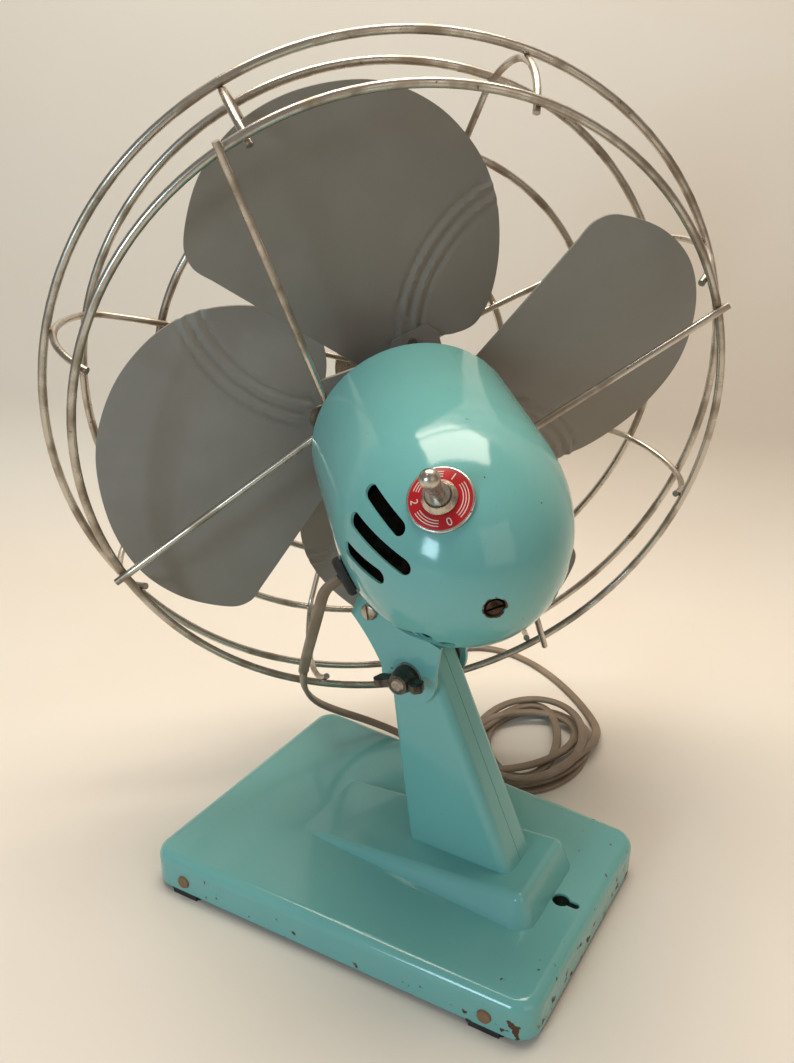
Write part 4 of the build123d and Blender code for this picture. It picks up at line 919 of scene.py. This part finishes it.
def twin_lead(name, line, material):
    """A twin lead along a line: it lies flat on the floor and keeps its twist where it hangs."""
    section = cord_section()
    up = Vector((0, 0, 1))
    work = bmesh.new()
    rings = []
    for i in range(len(line) - 1, -1, -1):
        way = (line[min(i + 1, len(line) - 1)] - line[max(i - 1, 0)]).normalized()
        settle = floor_settle * (1 - smooth_step(line[i].z, *settle_heights))
        up = up.lerp(Vector((0, 0, 1)), settle)
        up = (up - way * up.dot(way)).normalized()
        side = way.cross(up)
        rings.append([work.verts.new(line[i] + side * x + up * y) for x, y in section])
    for ring, after in zip(rings, rings[1:]):
        for j in range(len(section)):
            k = (j + 1) % len(section)
            work.faces.new((ring[j], after[j], after[k], ring[k]))
    work.faces.new(rings[0])
    work.faces.new(rings[-1])
    return finish_mesh(name, work, Matrix(), material, smooth=50.0)


cord_plastic = grained(
    "cord_plastic",
    dark=(0.2, 0.145, 0.1, 1),
    light=(0.265, 0.2, 0.145, 1),
    roughness=0.45,
    fineness=500.0,
    depth=0.08 * mm,
)
cord_path = cord_line(cord_hang + loop_points() + cord_tail)
cord_split = on_stand(bracket_point)
split = min(range(len(cord_path)), key=lambda i: (cord_path[i] - cord_split).length)
upper_path = cord_path[: split + 1]
lower_path = cord_path[split:]


upper_lead = twin_lead("lead_upper", upper_path, cord_plastic)
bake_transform(upper_lead)
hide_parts("cord_lead")
lower_lead = twin_lead("lead_lower", lower_path, cord_plastic)
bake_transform(lower_lead)
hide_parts("cord_hank", "cord_tail")
plug_brown = grained(
    "plug_brown",
    dark=(0.05, 0.026, 0.014, 1),
    light=(0.085, 0.046, 0.026, 1),
    roughness=0.34,
    fineness=300.0,
    depth=0.06 * mm,
)
dress(plug_brown, "plug_body")
plug_brass = worn_metal(
    "plug_brass",
    bright=(0.62, 0.44, 0.19, 1),
    dull=(0.36, 0.24, 0.1, 1),
    roughness=0.28,
    fineness=200.0,
)
dress(plug_brass, "plug_blades")

# Studio: a pale paper sweep under and behind the fan, with a broad warm light overhead.
# A small cool window stands to the fan's left, and a weak warm fill lights its rear.
# The paper is clear from its own back, so the fan is seen from every side.
paper = (0.74, 0.67, 0.59, 1)
paper_pale = (0.78, 0.725, 0.67, 1)
paper_roughness = 0.85
wall_foot = (-185.3, -114.3, 0)
wall_way = (-198.3, 515.5, 0)
wall_gap = 0.22
sweep_reach = 4.0
sweep_height = 3.0
sweep_bend = 0.12
bend_steps = 12
room_colour = (1.0, 0.95, 0.89, 1)
room_strength = 0.24


def studio_sweep():
    """Floor and wall in one sheet, curved where they meet, running along the wall's line on the floor."""
    along = Vector(wall_way).normalized()
    back = Vector((-along.y, along.x, 0))
    corner = on_stand(wall_foot) + back * wall_gap
    profile = [(-sweep_reach, 0.0), (-sweep_bend, 0.0)]
    for i in range(1, bend_steps + 1):
        angle = math.pi / 2 * i / bend_steps
        out = sweep_bend * math.sin(angle) - sweep_bend
        profile.append((out, sweep_bend - sweep_bend * math.cos(angle)))
    profile.append((0.0, sweep_height))
    work = bmesh.new()
    rows = []
    for out, up in profile:
        edge = corner + back * out + Vector((0, 0, up))
        rows.append([work.verts.new(edge + along * reach) for reach in (-sweep_reach, sweep_reach)])
    for row, after in zip(rows, rows[1:]):
        work.faces.new((row[0], row[1], after[1], after[0]))
    material, tree, shader, place = new_material("paper_sweep")
    shader.inputs["Roughness"].default_value = paper_roughness
    mottle = add_node(tree, "TexNoise", {"Vector": place, "Scale": 6.0, "Detail": 3.0})
    colour = mix_colour(tree, mottle.outputs[0], paper, paper_pale)
    tree.links.new(colour, shader.inputs["Base Color"])
    inside = add_node(tree, "NewGeometry").outputs["Backfacing"]
    clear = add_node(tree, "BsdfTransparent").outputs["BSDF"]
    one_sided = add_node(tree, "MixShader", {0: inside, 1: clear, 2: shader.outputs["BSDF"]})
    tree.links.new(one_sided.outputs["Shader"], tree.nodes["Material Output"].inputs["Surface"])
    return finish_mesh("studio_sweep", work, Matrix(), material, smooth=60.0)


studio_sweep()


def soft_light(name, way, distance, across, size, power, colour):
    """A rectangular soft light that shines on the head from a direction, its long side along across."""
    data = bpy.data.lights.new(name, "AREA")
    data.shape = "RECTANGLE"
    data.size = size[0]
    data.size_y = size[1]
    data.energy = power
    data.color = colour
    back = Vector(way).normalized()
    side = (Vector(across) - back * Vector(across).dot(back)).normalized()
    lamp = bpy.data.objects.new(name, data)
    turn = Matrix((side, back.cross(side), back)).transposed().to_4x4()
    lamp.matrix_world = Matrix.Translation(head.translation + back * distance) @ turn
    bpy.context.scene.collection.objects.link(lamp)


soft_light(
    "warm_key",
    way=(-0.2, -0.15, 0.97),
    distance=0.95,
    across=(-0.55, 0.8, 0),
    size=(0.8, 0.5),
    power=12.0,
    colour=(1.0, 0.91, 0.77),
)
soft_light(
    "cool_window",
    way=(0.97, -0.13, 0.2),
    distance=1.5,
    across=(0, 0.2, 1),
    size=(0.42, 0.34),
    power=7.0,
    colour=(0.6, 0.86, 1.0),
)
soft_light(
    "warm_fill",
    way=(0.4, 0.85, 0.35),
    distance=1.6,
    across=(-0.9, 0.4, 0),
    size=(1.0, 1.0),
    power=3.0,
    colour=(1.0, 0.88, 0.72),
)

world = bpy.data.worlds.new("studio_world")
world.use_nodes = True
world.node_tree.nodes["Background"].inputs["Color"].default_value = room_colour
world.node_tree.nodes["Background"].inputs["Strength"].default_value = room_strength
bpy.context.scene.world = world
bpy.context.scene.view_settings.view_transform = "Standard"

# Camera: behind the fan, to its left and a little above it, as a person standing at the bench sees it.
# Its place, aim and lens come from fitting the base, the housing and the guard's rings to the photograph.
photo_width = 794
focal_pixels = 937.317
sensor_width = 36.0
camera_point = (326.09, 194.468, 337.407)
camera_heading = 121.406
camera_dip = 21.954
camera_roll = 0.475
camera_data = bpy.data.cameras.new("camera")
camera_data.sensor_fit = "HORIZONTAL"
camera_data.sensor_width = sensor_width
camera_data.lens = focal_pixels / photo_width * sensor_width
camera = bpy.data.objects.new("camera", camera_data)
heading = Matrix.Rotation(math.radians(camera_heading), 4, "Z")
pitch = Matrix.Rotation(math.radians(90 - camera_dip), 4, "X")
roll = Matrix.Rotation(math.radians(camera_roll), 4, "Z")
camera.matrix_world = Matrix.Translation(on_stand(camera_point)) @ heading @ pitch @ roll
bpy.context.scene.collection.objects.link(camera)
bpy.context.scene.camera = camera
